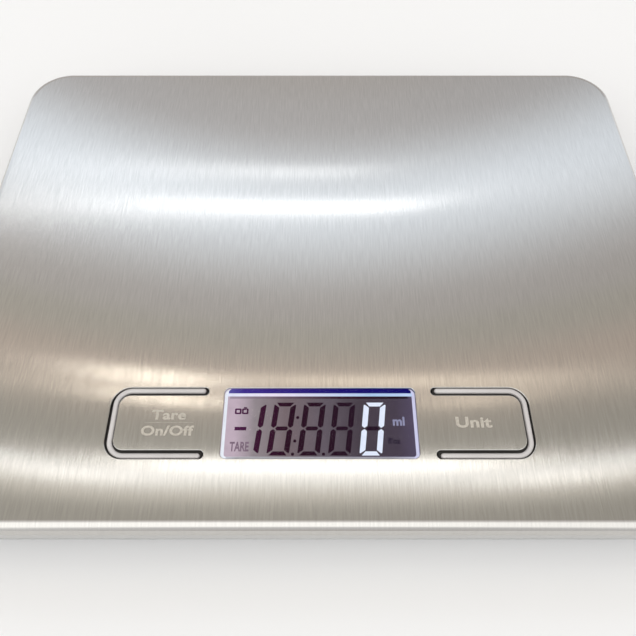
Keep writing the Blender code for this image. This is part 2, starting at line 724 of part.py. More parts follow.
def make_door():
    """Snap-in cover: two tabs hook over the rear edge of the recess, a latch holds the front."""
    half = LATCH_WIDTH / 2
    into_door = DOOR_TOP - SINK
    notch = rectangle(-half - LATCH_PLAY, DOOR_FRONT - PAST, half + LATCH_PLAY, LATCH_NOTCH_REAR)
    door = prism("battery_cover", [door_outline(0.0)], DOOR_BOTTOM, DOOR_TOP)
    cutter = prism("latch_notch", [notch], DOOR_BOTTOM - PAST, DOOR_TOP + PAST)
    additions = [box("latch_root", (-half, LATCH_ROOT_Y[0], into_door),
                     (half, LATCH_ROOT_Y[1], LATCH_TOP))]
    for x in (-TAB_X, TAB_X):
        low = x - TAB_WIDTH / 2
        high = x + TAB_WIDTH / 2
        additions.append(box("tab_riser", (low, DOOR_REAR - TAB_RISER, into_door),
                             (high, DOOR_REAR - SINK, TAB_TOP - SINK)))
        additions.append(box("tab", (low, DOOR_REAR - TAB_RISER, TAB_BOTTOM),
                             (high, DOOR_REAR + TAB_REACH, TAB_TOP)))
    combine(door, "DIFFERENCE", cutter)
    place(combine(door, "UNION", *additions), GREY_PLASTIC)


def make_latch():
    """The sprung finger of the battery cover: thumb plate below, leaf above, hook in front."""
    half = LATCH_WIDTH / 2
    plate = box("battery_latch", (-half, DOOR_FRONT, DOOR_BOTTOM),
                (half, DOOR_FRONT + LATCH_DEPTH, DOOR_TOP))
    leaf = box("latch_leaf", (-half, DOOR_FRONT + LATCH_LEAF[0], DOOR_TOP - SINK),
               (half, DOOR_FRONT + LATCH_LEAF[1], LATCH_TOP))
    hook = box("latch_hook", (-half, DOOR_FRONT + LATCH_HOOK[0], HOOK_BOTTOM),
               (half, DOOR_FRONT + LATCH_HOOK[1], HOOK_TOP))
    place(combine(plate, "UNION", leaf, hook), GREY_PLASTIC)


# ---------------------------------------------------------------- batteries and contacts

def make_batteries():
    half = BATTERY_LENGTH / 2
    shoulder = half - BATTERY_TIP
    profile = ((0.0, half), (BATTERY_TIP_RADIUS, half), (BATTERY_TIP_RADIUS, shoulder),
               (BATTERY_END_RADIUS, shoulder - SINK), (BATTERY_RADIUS, shoulder - PAST),
               (BATTERY_RADIUS, BATTERY_CHAMFER - half), (BATTERY_END_RADIUS, -half),
               (0.0, -half))
    for number, side in ((1, -1), (2, 1)):
        cell = turned("battery_%d" % number, profile, 28)
        cell.rotation_euler.y = side * math.radians(90)
        cell.location = (side * BATTERY_SHIFT, POCKET_Y - side * BATTERY_PITCH / 2, BATTERY_Z)
        place(cell, BATTERY_SKIN)


def contact_spring(name, x, y, toward):
    """A conical coil spring that pushes on a cell's flat end."""
    curve = bpy.data.curves.new(name, "CURVE")
    curve.dimensions = "3D"
    curve.bevel_depth = SPRING_WIRE
    curve.bevel_resolution = 1
    curve.use_fill_caps = True
    spline = curve.splines.new("POLY")
    spline.points.add(SPRING_TURNS * SPRING_STEPS)
    for index, point in enumerate(spline.points):
        part = index / (SPRING_TURNS * SPRING_STEPS)
        angle = 2 * math.pi * SPRING_TURNS * part
        radius = SPRING_RADII[0] + (SPRING_RADII[1] - SPRING_RADII[0]) * part
        point.co = (x + toward * SPRING_LENGTH * part, y + radius * math.cos(angle),
                    BATTERY_Z + radius * math.sin(angle), 1.0)
    return solid_from_curve(name, curve)


def make_contacts():
    near = POCKET[0] / 2 - GAP
    far = near - CONTACT_THICKNESS
    bottom, top = CONTACT_Z
    upper_y = POCKET_Y + BATTERY_PITCH / 2
    lower_y = POCKET_Y - BATTERY_PITCH / 2
    rooted = far + SINK / 2
    bridge = box("battery_bridge_contact", (-near, lower_y - CONTACT_HALF, bottom),
                 (-far, upper_y + CONTACT_HALF, top))
    combine(bridge, "UNION", contact_spring("bridge_spring", -rooted, lower_y, 1))
    negative = box("battery_negative_contact", (far, upper_y - CONTACT_HALF, bottom),
                   (near, upper_y + CONTACT_HALF, top))
    combine(negative, "UNION", contact_spring("negative_spring", rooted, upper_y, -1))
    positive = box("battery_positive_contact", (far, lower_y - CONTACT_HALF, bottom),
                   (near, lower_y + CONTACT_HALF, top))
    for contact in (bridge, negative, positive):
        place(contact, SPRING_STEEL)


# ---------------------------------------------------------------- load cells and feet

def make_corner(corner, side_x, side_y):
    """One corner's half-bridge cell with its gauge and lead, and the foot that pushes on it."""
    x = side_x * FOOT_X
    y = side_y * FOOT_Y
    slot = [(x + px * side_x, y + py - DISPLAY_Y) for px, py in
            channel(CELL_SLOT_END, CELL_SLOT_FAR, CELL_SLOT_HALF, CELL_SLOT_RADIUS,
                    CELL_SLOT_WIDTH, 1, 3)]
    plate = rounded_rectangle((CELL_SIZE, CELL_SIZE), 0.002, (x, y), 2)
    place(prism("load_cell_" + corner, [plate, slot], CELL_BOTTOM, CELL_TOP), SPRING_STEEL)
    half_x, half_y = GAUGE_HALF
    gauge_bottom = CELL_TOP + GAP
    place(box("strain_gauge_" + corner, (x - half_x, y - half_y, gauge_bottom),
              (x + half_x, y + half_y, gauge_bottom + GAUGE_THICKNESS)), TAPE)

    foot = turned("foot_cup_" + corner, FOOT_CUP, 32)
    foot.location = (x, y, 0.0)
    place(foot, GREY_PLASTIC)
    rubber = turned("foot_pad_" + corner, FOOT_PAD, 32)
    rubber.location = (x, y, 0.0)
    place(rubber, SOFT_RUBBER)


def make_leads():
    """The cells' leads to the board, then the two battery wires, each along the base's floor."""
    for corner, (side_x, side_y) in CORNERS.items():
        if side_y < 0:
            route = ((0.0795, -0.0600, 0.0124), (0.0690, -0.0600, 0.0128),
                     (0.0630, -0.0585, 0.0137), (0.0585, -0.0560, 0.0140),
                     (0.0550, -0.0540, 0.0136))
        else:
            route = ((0.0795, 0.0600, 0.0124), (0.0690, 0.0590, 0.0112),
                     (0.0640, 0.0500, 0.0080), (0.0560, 0.0200, 0.0075),
                     (0.0500, -0.0150, 0.0075), (0.0465, -0.0320, 0.0085),
                     (0.0450, -0.0375, 0.0120), (0.0430, -0.0396, 0.0144),
                     (0.0400, -0.0430, 0.0139))
        mirrored = [(side_x * x, y, z) for x, y, z in route]
        place(tube("cell_lead_" + corner, mirrored, 0.0006), WHITE_WIRE)
    front_y = POCKET_Y - BATTERY_PITCH / 2
    rear_y = POCKET_Y + BATTERY_PITCH / 2
    starts = [[(x, y, BATTERY_Z) for x in WIRE_START] for y in (front_y, rear_y)]
    red = (*starts[0], (0.0340, 0.0090, 0.0095),
           (0.0360, 0.0000, 0.0075), (0.0360, -0.0260, 0.0075), (0.0350, -0.0360, 0.0095),
           (0.0345, -0.0378, 0.0125), (0.0340, -0.0396, 0.0143), (0.0336, -0.0425, 0.0138))
    black = (*starts[1], (0.0365, 0.0200, 0.0095),
             (0.0400, 0.0080, 0.0075), (0.0400, -0.0260, 0.0075), (0.0390, -0.0360, 0.0095),
             (0.0380, -0.0378, 0.0125), (0.0372, -0.0396, 0.0143), (0.0366, -0.0425, 0.0138))
    place(tube("battery_wire_red", red, 0.0005), RED_WIRE)
    place(tube("battery_wire_black", black, 0.0005), BLACK_WIRE)


# ---------------------------------------------------------------- screws

def screw_mesh(head_radius, head_height, shank_length):
    """A pan-head screw that points up, its head's underside at height 0, with a cross recess."""
    profile = ((0.0, shank_length), (SCREW_SHANK * 0.6, shank_length),
               (SCREW_SHANK, shank_length - TIP_TAPER), (SCREW_SHANK, 0.0), (head_radius, 0.0),
               (head_radius, 0.4 * -head_height), (head_radius * 0.72, -head_height),
               (0.0, -head_height))
    screw = turned("screw_pattern", profile, 16)
    CUTTERS.objects.link(screw)
    reach = head_radius * 0.55
    deep = -0.35 * head_height
    outside = -head_height - PAST
    recess = (box("recess", (-reach, -RECESS_ARM, outside), (reach, RECESS_ARM, deep)),
              box("recess", (-RECESS_ARM, -reach, outside), (RECESS_ARM, reach, deep)))
    combine(screw, "DIFFERENCE", *recess)
    return evaluated_copy(screw).data


def make_screws():
    case_mesh = screw_mesh(*CASE_SCREW)
    for number, (x, y) in enumerate(CASE_SCREWS, start=1):
        screw = bpy.data.objects.new("case_screw_%d" % number, case_mesh)
        screw.location = (x, y, HEAD_UNDERSIDE)
        place(screw, SCREW_STEEL)
    board_mesh = screw_mesh(*BOARD_SCREW)
    for number, (side_x, side_y) in enumerate(BOARD_SCREWS, start=1):
        screw = bpy.data.objects.new("board_screw_%d" % number, board_mesh)
        screw.rotation_euler.x = math.pi
        screw.location = (side_x * BOARD_HOLE_X, DISPLAY_Y + side_y * BOARD_HOLE_Y,
                          BOARD_TOP + GAP)
        place(screw, SCREW_STEEL)


# ---------------------------------------------------------------- assembly

make_cover()
make_display()
make_board()
made = SCALE.objects
for label, sign in (("tare", -1), ("unit", 1)):
    make_button(label + "_button", sign)
    make_slot_rib(label + "_slot_rib", sign)
    make_button_post(label + "_button_post", sign)
    make_switch(label + "_switch", sign)
    carry(label + "_button_axis", (sign * BUTTON_ROOT, DISPLAY_Y, HEIGHT - STEEL / 2),
          made[label + "_button"], made[label + "_button_post"])
    carry(label + "_plunger_axis", (sign * SWITCH_X, DISPLAY_Y, PLUNGER_BOTTOM),
          made[label + "_switch_plunger"])
make_adhesive()
make_frame()
make_base()
make_door()
make_latch()
latch_axis = carry("battery_latch_axis", (0.0, DOOR_FRONT + sum(LATCH_LEAF) / 2, LATCH_TOP),
                   made["battery_latch"])
carry("battery_cover_axis", (0.0, DOOR_REAR, DOOR_BOTTOM), made["battery_cover"], latch_axis)
make_batteries()
make_contacts()
for corner_name, (sign_x, sign_y) in CORNERS.items():
    make_corner(corner_name, sign_x, sign_y)
make_leads()
make_screws()
for piece in made:
    if piece.type == "MESH":
        smooth(piece)
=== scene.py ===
import math

import bmesh
import bpy
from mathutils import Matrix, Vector, geometry


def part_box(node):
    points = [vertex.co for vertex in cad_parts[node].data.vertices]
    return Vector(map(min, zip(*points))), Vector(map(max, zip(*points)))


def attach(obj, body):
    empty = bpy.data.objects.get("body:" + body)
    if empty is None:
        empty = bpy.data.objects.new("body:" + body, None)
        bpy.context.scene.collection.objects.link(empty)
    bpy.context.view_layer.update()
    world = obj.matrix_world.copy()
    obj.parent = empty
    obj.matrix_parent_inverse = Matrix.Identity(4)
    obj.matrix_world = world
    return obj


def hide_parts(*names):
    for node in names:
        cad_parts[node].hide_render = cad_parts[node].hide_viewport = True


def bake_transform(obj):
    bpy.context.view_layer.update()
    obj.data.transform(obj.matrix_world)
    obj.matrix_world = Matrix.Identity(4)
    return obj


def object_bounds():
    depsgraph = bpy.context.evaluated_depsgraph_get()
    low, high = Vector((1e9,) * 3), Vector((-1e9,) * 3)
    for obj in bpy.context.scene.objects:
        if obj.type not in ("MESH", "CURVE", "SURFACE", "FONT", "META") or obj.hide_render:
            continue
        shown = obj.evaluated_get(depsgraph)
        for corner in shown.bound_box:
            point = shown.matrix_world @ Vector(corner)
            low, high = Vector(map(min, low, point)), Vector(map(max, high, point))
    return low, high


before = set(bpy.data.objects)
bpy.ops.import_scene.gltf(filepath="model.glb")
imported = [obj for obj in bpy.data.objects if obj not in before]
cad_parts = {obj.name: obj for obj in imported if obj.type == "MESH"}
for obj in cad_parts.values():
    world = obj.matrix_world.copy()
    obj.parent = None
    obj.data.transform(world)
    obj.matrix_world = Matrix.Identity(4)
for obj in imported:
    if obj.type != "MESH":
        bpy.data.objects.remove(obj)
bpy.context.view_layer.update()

# ------------------------------------------------------------------ sizes, in metres

MM = 0.001

COVER_LOW, COVER_HIGH = (Vector(corner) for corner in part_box("steel_cover"))
TOP = COVER_HIGH.z
WIDTH = COVER_HIGH.x - COVER_LOW.x
DEPTH = COVER_HIGH.y - COVER_LOW.y
STEEL = 0.0006
UNDERSIDE = TOP - STEEL
COVER_RADIUS = 0.014
ROLL_RADIUS = 0.003
CUT_EDGE = 0.00018              # how far a punched edge is rounded over
HEM_EDGE = 0.00012              # the same at the hem
SHEET_WALLS = 0.008             # how far apart the sheet's two faces lie in its map

LENS_LOW, LENS_HIGH = (Vector(corner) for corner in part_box("display_window"))
DISPLAY_Y = (LENS_LOW.y + LENS_HIGH.y) / 2
GLASS_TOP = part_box("lcd_glass")[1][2]
WINDOW_HALF = (0.02505, 0.0094)
WINDOW_RADIUS = 0.0015
FIELD_HALF = 25.0               # half the display's width, in millimetres

ROOT_X = 0.0303                 # the line where a button's tongue leaves the sheet
SLOT_FAR = 0.0546
SLOT_HALF = 0.0095
SLOT_WIDTH = 0.0022
SLOT_RADIUS = 0.0050
TONGUE_FAR = SLOT_FAR - SLOT_WIDTH
TONGUE_HALF = SLOT_HALF - SLOT_WIDTH
BEND_END = 0.0350               # a pressed tongue is bent between its root and here
BEND_STATIONS = 8               # points along that bend
LEVEL_STATIONS = (BEND_END + 0.002, 0.040, 0.044, 0.047)
SIDES = {"tare": -1, "unit": 1}


# ------------------------------------------------------------------ helpers

def srgb(red, green, blue):
    """A display colour, 0 to 255, as the linear colour that a shader takes."""
    def linear(value):
        value /= 255.0
        return value / 12.92 if value <= 0.04045 else ((value + 0.055) / 1.055) ** 2.4
    return (linear(red), linear(green), linear(blue), 1.0)


def link(obj, material, body="housing"):
    """Put an object in the scene with its material, riding on a body if it has one."""
    bpy.context.scene.collection.objects.link(obj)
    obj.data.materials.append(material)
    if body is not None:
        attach(obj, body)
    return obj


def mesh_object(name, builder):
    mesh = bpy.data.meshes.new(name)
    builder.to_mesh(mesh)
    builder.free()
    return bpy.data.objects.new(name, mesh)


def arc(centre, radius, start, stop, steps):
    points = []
    for step in range(steps + 1):
        angle = math.radians(start + (stop - start) * step / steps)
        points.append(Vector((centre[0] + radius * math.cos(angle),
                              centre[1] + radius * math.sin(angle))))
    return points


def rounded_rectangle(half_x, half_y, radius, steps, centre=(0.0, 0.0)):
    points = []
    corners = ((1, 1), (-1, 1), (-1, -1), (1, -1))
    for quarter, (sx, sy) in enumerate(corners):
        middle = (centre[0] + sx * (half_x - radius), centre[1] + sy * (half_y - radius))
        points += arc(middle, radius, 90 * quarter, 90 * quarter + 90, steps)
    return points


# ------------------------------------------------------------------ materials

class Tree:
    """A node tree with short ways to add nodes to it."""

    def __init__(self, owner):
        owner.use_nodes = True
        self.tree = owner.node_tree

    def add(self, kind, **settings):
        node = self.tree.nodes.new("ShaderNode" + kind)
        for key, value in settings.items():
            setattr(node, key, value)
        return node

    def join(self, source, target):
        self.tree.links.new(source, target)

    def ramp(self, value, stops, interpolation="LINEAR"):
        node = self.add("ValToRGB")
        node.color_ramp.interpolation = interpolation
        elements = node.color_ramp.elements
        while len(elements) < len(stops):
            elements.new(0.5)
        for element, (at, colour) in zip(elements, stops):
            element.position = at
            element.color = colour
        self.join(value, node.inputs["Fac"])
        return node.outputs["Color"]

    def span(self, value, low, high, to_low=0.0, to_high=1.0):
        node = self.add("MapRange")
        for name, number in (("From Min", low), ("From Max", high),
                             ("To Min", to_low), ("To Max", to_high)):
            node.inputs[name].default_value = number
        self.join(value, node.inputs["Value"])
        return node.outputs["Result"]


class Nodes(Tree):
    """A material whose nodes are added in the same short ways."""

    def __init__(self, name):
        self.material = bpy.data.materials.new(name)
        super().__init__(self.material)
        self.shader = self.tree.nodes["Principled BSDF"]

    def set(self, **inputs):
        for key, value in inputs.items():
            self.shader.inputs[key.replace("_", " ")].default_value = value

    def feed(self, source, name):
        """Take one of the shader's inputs from a node."""
        self.join(source, self.shader.inputs[name])

    def position(self):
        return self.add("TexCoord").outputs["Object"]

    def noise(self, vector, scale, detail, roughness=0.5):
        node = self.add("TexNoise")
        for name, number in (("Scale", scale), ("Detail", detail), ("Roughness", roughness)):
            node.inputs[name].default_value = number
        self.join(vector, node.inputs["Vector"])
        return node.outputs["Fac"]

    def multiply(self, first, second):
        """The product of two colours; a mix node's colour sockets have no names of their own."""
        node = self.add("Mix", data_type="RGBA", blend_type="MULTIPLY")
        factor, base, tint = node.inputs[0], node.inputs[6], node.inputs[7]
        factor.default_value = 1.0
        self.join(first, base)
        self.join(second, tint)
        return node.outputs[2]

    def bump(self, height, distance, strength):
        node = self.add("Bump")
        node.inputs["Distance"].default_value = distance
        node.inputs["Strength"].default_value = strength
        self.join(height, node.inputs["Height"])
        self.feed(node.outputs["Normal"], "Normal")


def grey(value):
    return (value, value, value, 1.0)


def shaded(colour, share):
    """A colour made darker or lighter by a share."""
    return tuple(channel * share for channel in colour[:3]) + (1.0,)


STEEL_TONE = (0.585, 0.570, 0.545)
GRAIN_LEAN = 0.07               # how far the brushed grain tips the surface sideways


def brushed_steel():
    """Stainless with its grain along the depth.

    The grain is finer than the eye resolves, so it is mostly a sideways lean of the surface that
    spreads reflections across the grain and leaves them sharp along it.
    """
    made = Nodes("brushed_stainless")
    made.set(Metallic=1.0, Anisotropic=1.0)
    flat = made.add("UVMap", uv_map="sheet")

    def streaks(size, stretch, detail=2.0):
        mapping = made.add("Mapping")
        mapping.inputs["Scale"].default_value = (1.0, stretch, 1.0)
        made.join(flat.outputs["UV"], mapping.inputs["Vector"])
        return made.noise(mapping.outputs["Vector"], size, detail, 0.55)

    tone = made.ramp(streaks(3000.0, 0.05, 3.0),
                     ((0.34, shaded(STEEL_TONE, 0.955)), (0.66, shaded(STEEL_TONE, 1.045))))
    patches = made.ramp(streaks(2600.0, 0.005), ((0.30, grey(0.965)), (0.70, grey(1.0))))
    made.feed(made.multiply(tone, patches), "Base Color")
    made.feed(made.span(streaks(900.0, 0.01), 0.3, 0.7, 0.125, 0.155), "Roughness")
    lean = made.add("CombineColor")
    made.join(made.span(streaks(60000.0, 0.003), 0.0, 1.0, 0.5 - GRAIN_LEAN, 0.5 + GRAIN_LEAN),
              lean.inputs["Red"])
    lean.inputs["Green"].default_value = 0.5
    lean.inputs["Blue"].default_value = 1.0
    normal = made.add("NormalMap", space="TANGENT", uv_map="sheet")
    made.join(lean.outputs["Color"], normal.inputs["Color"])
    made.feed(normal.outputs["Normal"], "Normal")
    tangent = made.add("Tangent", direction_type="UV_MAP", uv_map="sheet")
    made.feed(tangent.outputs["Tangent"], "Tangent")
    return made.material


def moulded_plastic(name, dark, light, roughness, grain=2600.0, depth=0.00003):
    """Plastic from a lightly textured mould."""
    made = Nodes(name)
    where = made.position()
    fine = made.noise(where, grain, 2.0, 0.6)
    broad = made.noise(where, 60.0, 2.0)
    made.feed(made.ramp(broad, ((0.35, dark), (0.65, light))), "Base Color")
    made.feed(made.span(fine, 0.3, 0.7, roughness - 0.07, roughness + 0.08), "Roughness")
    made.bump(fine, depth, 0.5)
    return made.material


def rubber(name, dark, light):
    """A matte face with a little dust on it."""
    made = Nodes(name)
    where = made.position()
    fine = made.noise(where, 3400.0, 2.0)
    dust = made.noise(where, 260.0, 4.0, 0.65)
    made.feed(made.ramp(dust, ((0.35, dark), (0.75, light))), "Base Color")
    made.feed(made.span(fine, 0.3, 0.7, 0.70, 0.88), "Roughness")
    made.bump(fine, 0.00002, 0.5)
    return made.material


def metal(name, colour, roughness, scale=900.0):
    """Plating with slightly worn patches."""
    made = Nodes(name)
    made.set(Metallic=1.0)
    wear = made.noise(made.position(), scale, 4.0, 0.6)
    made.feed(made.ramp(wear, ((0.35, shaded(colour, 0.8)), (0.65, colour))), "Base Color")
    made.feed(made.span(wear, 0.3, 0.7, roughness - 0.05, roughness + 0.08), "Roughness")
    made.bump(wear, 0.00001, 0.4)
    return made.material


def clear_window():
    """Polished acrylic with faint wipe marks."""
    made = Nodes("clear_window")
    made.set(Base_Color=(0.02, 0.02, 0.03, 1.0), Alpha=0.06, IOR=1.49)
    haze = made.noise(made.position(), 700.0, 3.0)
    made.feed(made.span(haze, 0.3, 0.7, 0.03, 0.07), "Roughness")
    return made.material


def print_ink():
    """Pale ink, a little blotchy."""
    made = Nodes("pale_print")
    blot = made.noise(made.position(), 1800.0, 3.0)
    made.feed(made.ramp(blot, ((0.35, (0.44, 0.40, 0.34, 1)), (0.65, (0.55, 0.51, 0.44, 1)))),
              "Base Color")
    made.feed(made.span(blot, 0.3, 0.7, 0.45, 0.6), "Roughness")
    made.bump(blot, 0.00001, 0.4)
    return made.material


def backlit(name, strength):
    """A material that only the light behind it shows, still without its colour."""
    made = Nodes(name)
    made.set(Base_Color=grey(0.002), Roughness=0.5, Specular_IOR_Level=0.05,
             Emission_Strength=strength)
    return made


def glowing(name, colour, strength=1.0, variation=0.12, scale=300.0):
    """One back-lit colour with the slight unevenness of the light behind."""
    made = backlit(name, strength)
    uneven = made.noise(made.position(), scale, 2.0)
    shade = made.ramp(uneven, ((0.35, shaded(colour, 1.0 - variation)), (0.65, colour)))
    made.feed(shade, "Emission Color")
    return made.material


def glowing_along_x(name, stops, strength=1.0, mottle=(500.0, 2.0, 0.92)):
    """Back-lit colours that change along the display.

    Stops are (millimetres from its middle, colour), and mottle is the scale and detail of a noise
    and the share to which it darkens.
    """
    made = backlit(name, strength)
    parts = made.add("SeparateXYZ")
    made.join(made.position(), parts.inputs["Vector"])
    along = made.span(parts.outputs["X"], -FIELD_HALF * MM, FIELD_HALF * MM)
    spread = made.ramp(along, [((at + FIELD_HALF) / (2 * FIELD_HALF), srgb(*colour))
                               for at, colour in stops])
    scale, detail, darkest = mottle
    uneven = made.ramp(made.noise(made.position(), scale, detail),
                       ((0.3, grey(darkest)), (0.7, grey(1.0))))
    made.feed(made.multiply(spread, uneven), "Emission Color")
    return made.material


STEEL_FINISH = brushed_steel()
BASE_PLASTIC = moulded_plastic("base_plastic", (0.046, 0.046, 0.048, 1), (0.051, 0.051, 0.053, 1),
                               0.52, 1500.0, 0.00006)
FRAME_PLASTIC = moulded_plastic("frame_plastic", (0.62, 0.62, 0.60, 1), (0.70, 0.70, 0.68, 1), 0.5)
BLACK_PLASTIC = moulded_plastic("black_plastic", (0.012, 0.012, 0.013, 1),
                                (0.02, 0.02, 0.021, 1), 0.4)
RIB_GREY = moulded_plastic("slot_rib_grey", (0.56, 0.535, 0.525, 1), (0.64, 0.615, 0.605, 1),
                           0.26, 4000.0, 0.00001)
# The slot flange's dark brown is painted shade: it gives the gaps beside the bead their shadowed tone.
RIB_SHADOW = moulded_plastic("slot_rib_shade_flange", (0.022, 0.019, 0.017, 1), (0.03, 0.027, 0.024, 1),
                             0.6)
FOOT_RUBBER = rubber("foot_rubber", (0.016, 0.016, 0.016, 1), (0.035, 0.034, 0.033, 1))
WINDOW_CLEAR = clear_window()
SPRING_METAL = metal("nickel_plate", (0.60, 0.60, 0.62, 1), 0.28)
ZINC = metal("zinc_plate", (0.50, 0.50, 0.51, 1), 0.34, 1600.0)
BOARD_GREEN = moulded_plastic("solder_mask", (0.004, 0.045, 0.014, 1), (0.007, 0.07, 0.022, 1),
                              0.35, 900.0)
CELL_JACKET = moulded_plastic("cell_jacket", (0.010, 0.022, 0.07, 1), (0.014, 0.03, 0.09, 1),
                              0.3, 500.0, 0.00001)
GAUGE_FILM = moulded_plastic("gauge_film", (0.40, 0.25, 0.06, 1), (0.50, 0.33, 0.09, 1), 0.35)
RED_WIRE = moulded_plastic("red_insulation", (0.32, 0.012, 0.012, 1), (0.42, 0.02, 0.018, 1), 0.42)
BLACK_WIRE = moulded_plastic("black_insulation", (0.012, 0.012, 0.012, 1), (0.022, 0.021, 0.02, 1),
                             0.42)
WHITE_WIRE = moulded_plastic("white_insulation", (0.62, 0.62, 0.59, 1), (0.72, 0.72, 0.69, 1), 0.42)
FOAM_TAPE = rubber("foam_tape", (0.58, 0.56, 0.48, 1), (0.70, 0.68, 0.60, 1))
LIGHT_GUIDE = glowing("light_guide", (0.60, 0.70, 1.0, 1.0), 0.5)

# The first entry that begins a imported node's name gives its finish.
FINISHES = (
    ("base_shell", BASE_PLASTIC), ("battery_cover", BASE_PLASTIC), ("battery_latch", BASE_PLASTIC),
    ("foot_cup", BASE_PLASTIC), ("foot_pad", FOOT_RUBBER), ("zebra_strip", FOOT_RUBBER),
    ("upper_frame", FRAME_PLASTIC), ("tare_switch_plunger", FRAME_PLASTIC),
    ("unit_switch_plunger", FRAME_PLASTIC), ("tare_", BLACK_PLASTIC), ("unit_", BLACK_PLASTIC),
    ("lcd_bezel", BLACK_PLASTIC), ("controller_chip", BLACK_PLASTIC), ("main_board", BOARD_GREEN),
    ("lcd_backlight", LIGHT_GUIDE), ("adhesive_sheet", FOAM_TAPE), ("strain_gauge", GAUGE_FILM),
    ("load_cell", SPRING_METAL), ("cell_lead", WHITE_WIRE), ("battery_wire_red", RED_WIRE),
    ("battery_wire_black", BLACK_WIRE), ("battery_1", CELL_JACKET), ("battery_2", CELL_JACKET),
    ("battery_", SPRING_METAL), ("case_screw", ZINC), ("board_screw", ZINC),
)


def finish_node(node, material):
    """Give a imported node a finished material."""
    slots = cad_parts[node].data.materials
    slots.clear()
    slots.append(material)


def finish_packed_nodes():
    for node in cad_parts:
        for beginning, finish in FINISHES:
            if node.startswith(beginning):
                finish_node(node, finish)
                break


# ------------------------------------------------------------------ steel platform

SLOT_STEPS = 14                 # steps round a slot's bend
CAP_STEPS = 12                  # steps round a slot's closed end
WINDOW_STEPS = 8
TIP_STEPS = 10                  # steps round each corner of a tongue's tip
CUT_STEPS = 4
ROLL_STEPS = 10
CORNER_STEPS = 16               # steps round each corner of the sheet


def opening_ring(side, grow):
    """A button opening's edge, from the tongue's root round the slot and back to the root."""
    cap = SLOT_WIDTH / 2 + grow
    middle = SLOT_HALF - SLOT_WIDTH / 2
    bend = (SLOT_FAR - SLOT_RADIUS, SLOT_HALF - SLOT_RADIUS)
    points = arc((ROOT_X, -middle), cap, 90, 270, CAP_STEPS)
    points += arc((bend[0], -bend[1]), SLOT_RADIUS + grow, -90, 0, SLOT_STEPS)
    points += arc(bend, SLOT_RADIUS + grow, 0, 90, SLOT_STEPS)
    points += arc((ROOT_X, middle), cap, 90, 270, CAP_STEPS)
    return [Vector((side * point.x, DISPLAY_Y + point.y)) for point in points]


def window_ring(grow):
    return rounded_rectangle(WINDOW_HALF[0] + grow, WINDOW_HALF[1] + grow, WINDOW_RADIUS + grow,
                             WINDOW_STEPS, (0.0, DISPLAY_Y))


def edge_profile():
    """A rounded cut edge as (inset from the opening, height), from the top face down."""
    profile = []
    for step in range(CUT_STEPS + 1):
        angle = math.radians(90 * step / CUT_STEPS)
        profile.append((CUT_EDGE * (1 - math.sin(angle)), TOP - CUT_EDGE * (1 - math.cos(angle))))
    profile.append((0.0, UNDERSIDE))
    return profile


def fill(builder, outline, holes, upward):
    """Fill a flat region between rings of existing vertices."""
    loops = [outline, *holes]
    flat = [[Vector((vert.co.x, vert.co.y, 0.0)) for vert in loop] for loop in loops]
    order = [vert for loop in loops for vert in loop]
    for triangle in geometry.tessellate_polygon(flat):
        corners = [order[index] for index in triangle]
        first, second, third = (corner.co for corner in corners)
        turn = (second - first).cross(third - first).z
        if (turn > 0) != upward:
            corners.reverse()
        builder.faces.new(corners)


def ring_verts(builder, ring, height):
    return [builder.verts.new((point.x, point.y, height)) for point in ring]


def skirt(builder, upper, lower, closed=True):
    """Quads between two rings with the same number of points."""
    count = len(upper)
    for index in range(count if closed else count - 1):
        after = (index + 1) % count
        builder.faces.new((upper[index], upper[after], lower[after], lower[index]))


def cover_profile():
    """The folded sheet as (inset, height, length along the sheet) for its outside and inside."""
    outside = []
    for step in range(ROLL_STEPS + 1):
        angle = math.radians(90 * step / ROLL_STEPS)
        outside.append((ROLL_RADIUS * (1 - math.sin(angle)),
                        TOP - ROLL_RADIUS * (1 - math.cos(angle)), ROLL_RADIUS * angle))
    hem = COVER_LOW.z + HEM_EDGE
    rolled = ROLL_RADIUS * math.pi / 2
    for share in (0.25, 0.5, 0.75, 1.0):
        drop = share * (TOP - ROLL_RADIUS - hem)
        outside.append((0.0, TOP - ROLL_RADIUS - drop, rolled + drop))
    length = outside[-1][2]
    edge = [(HEM_EDGE / 3, COVER_LOW.z + HEM_EDGE / 3, length + 0.0001),
            (HEM_EDGE, COVER_LOW.z, length + 0.0002),
            (STEEL - HEM_EDGE, COVER_LOW.z, length + 0.0006),
            (STEEL, hem, length + 0.0008)]
    inner_radius = ROLL_RADIUS - STEEL
    inside = []
    for step in range(ROLL_STEPS, -1, -2):
        angle = math.radians(90 * step / ROLL_STEPS)
        inside.append((STEEL + inner_radius * (1 - math.sin(angle)),
                       UNDERSIDE - inner_radius * (1 - math.cos(angle)),
                       length + SHEET_WALLS + inner_radius * (math.pi / 2 - angle)))
    return outside + edge + inside


def sheet_uv(builder, along):
    """Unfold the sheet: each corner's map place is where that bit of steel was before folding."""
    layer = builder.loops.layers.uv.new("sheet")
    for face in builder.faces:
        for loop in face.loops:
            loop[layer].uv = along.get(loop.vert, loop.vert.co.xy)


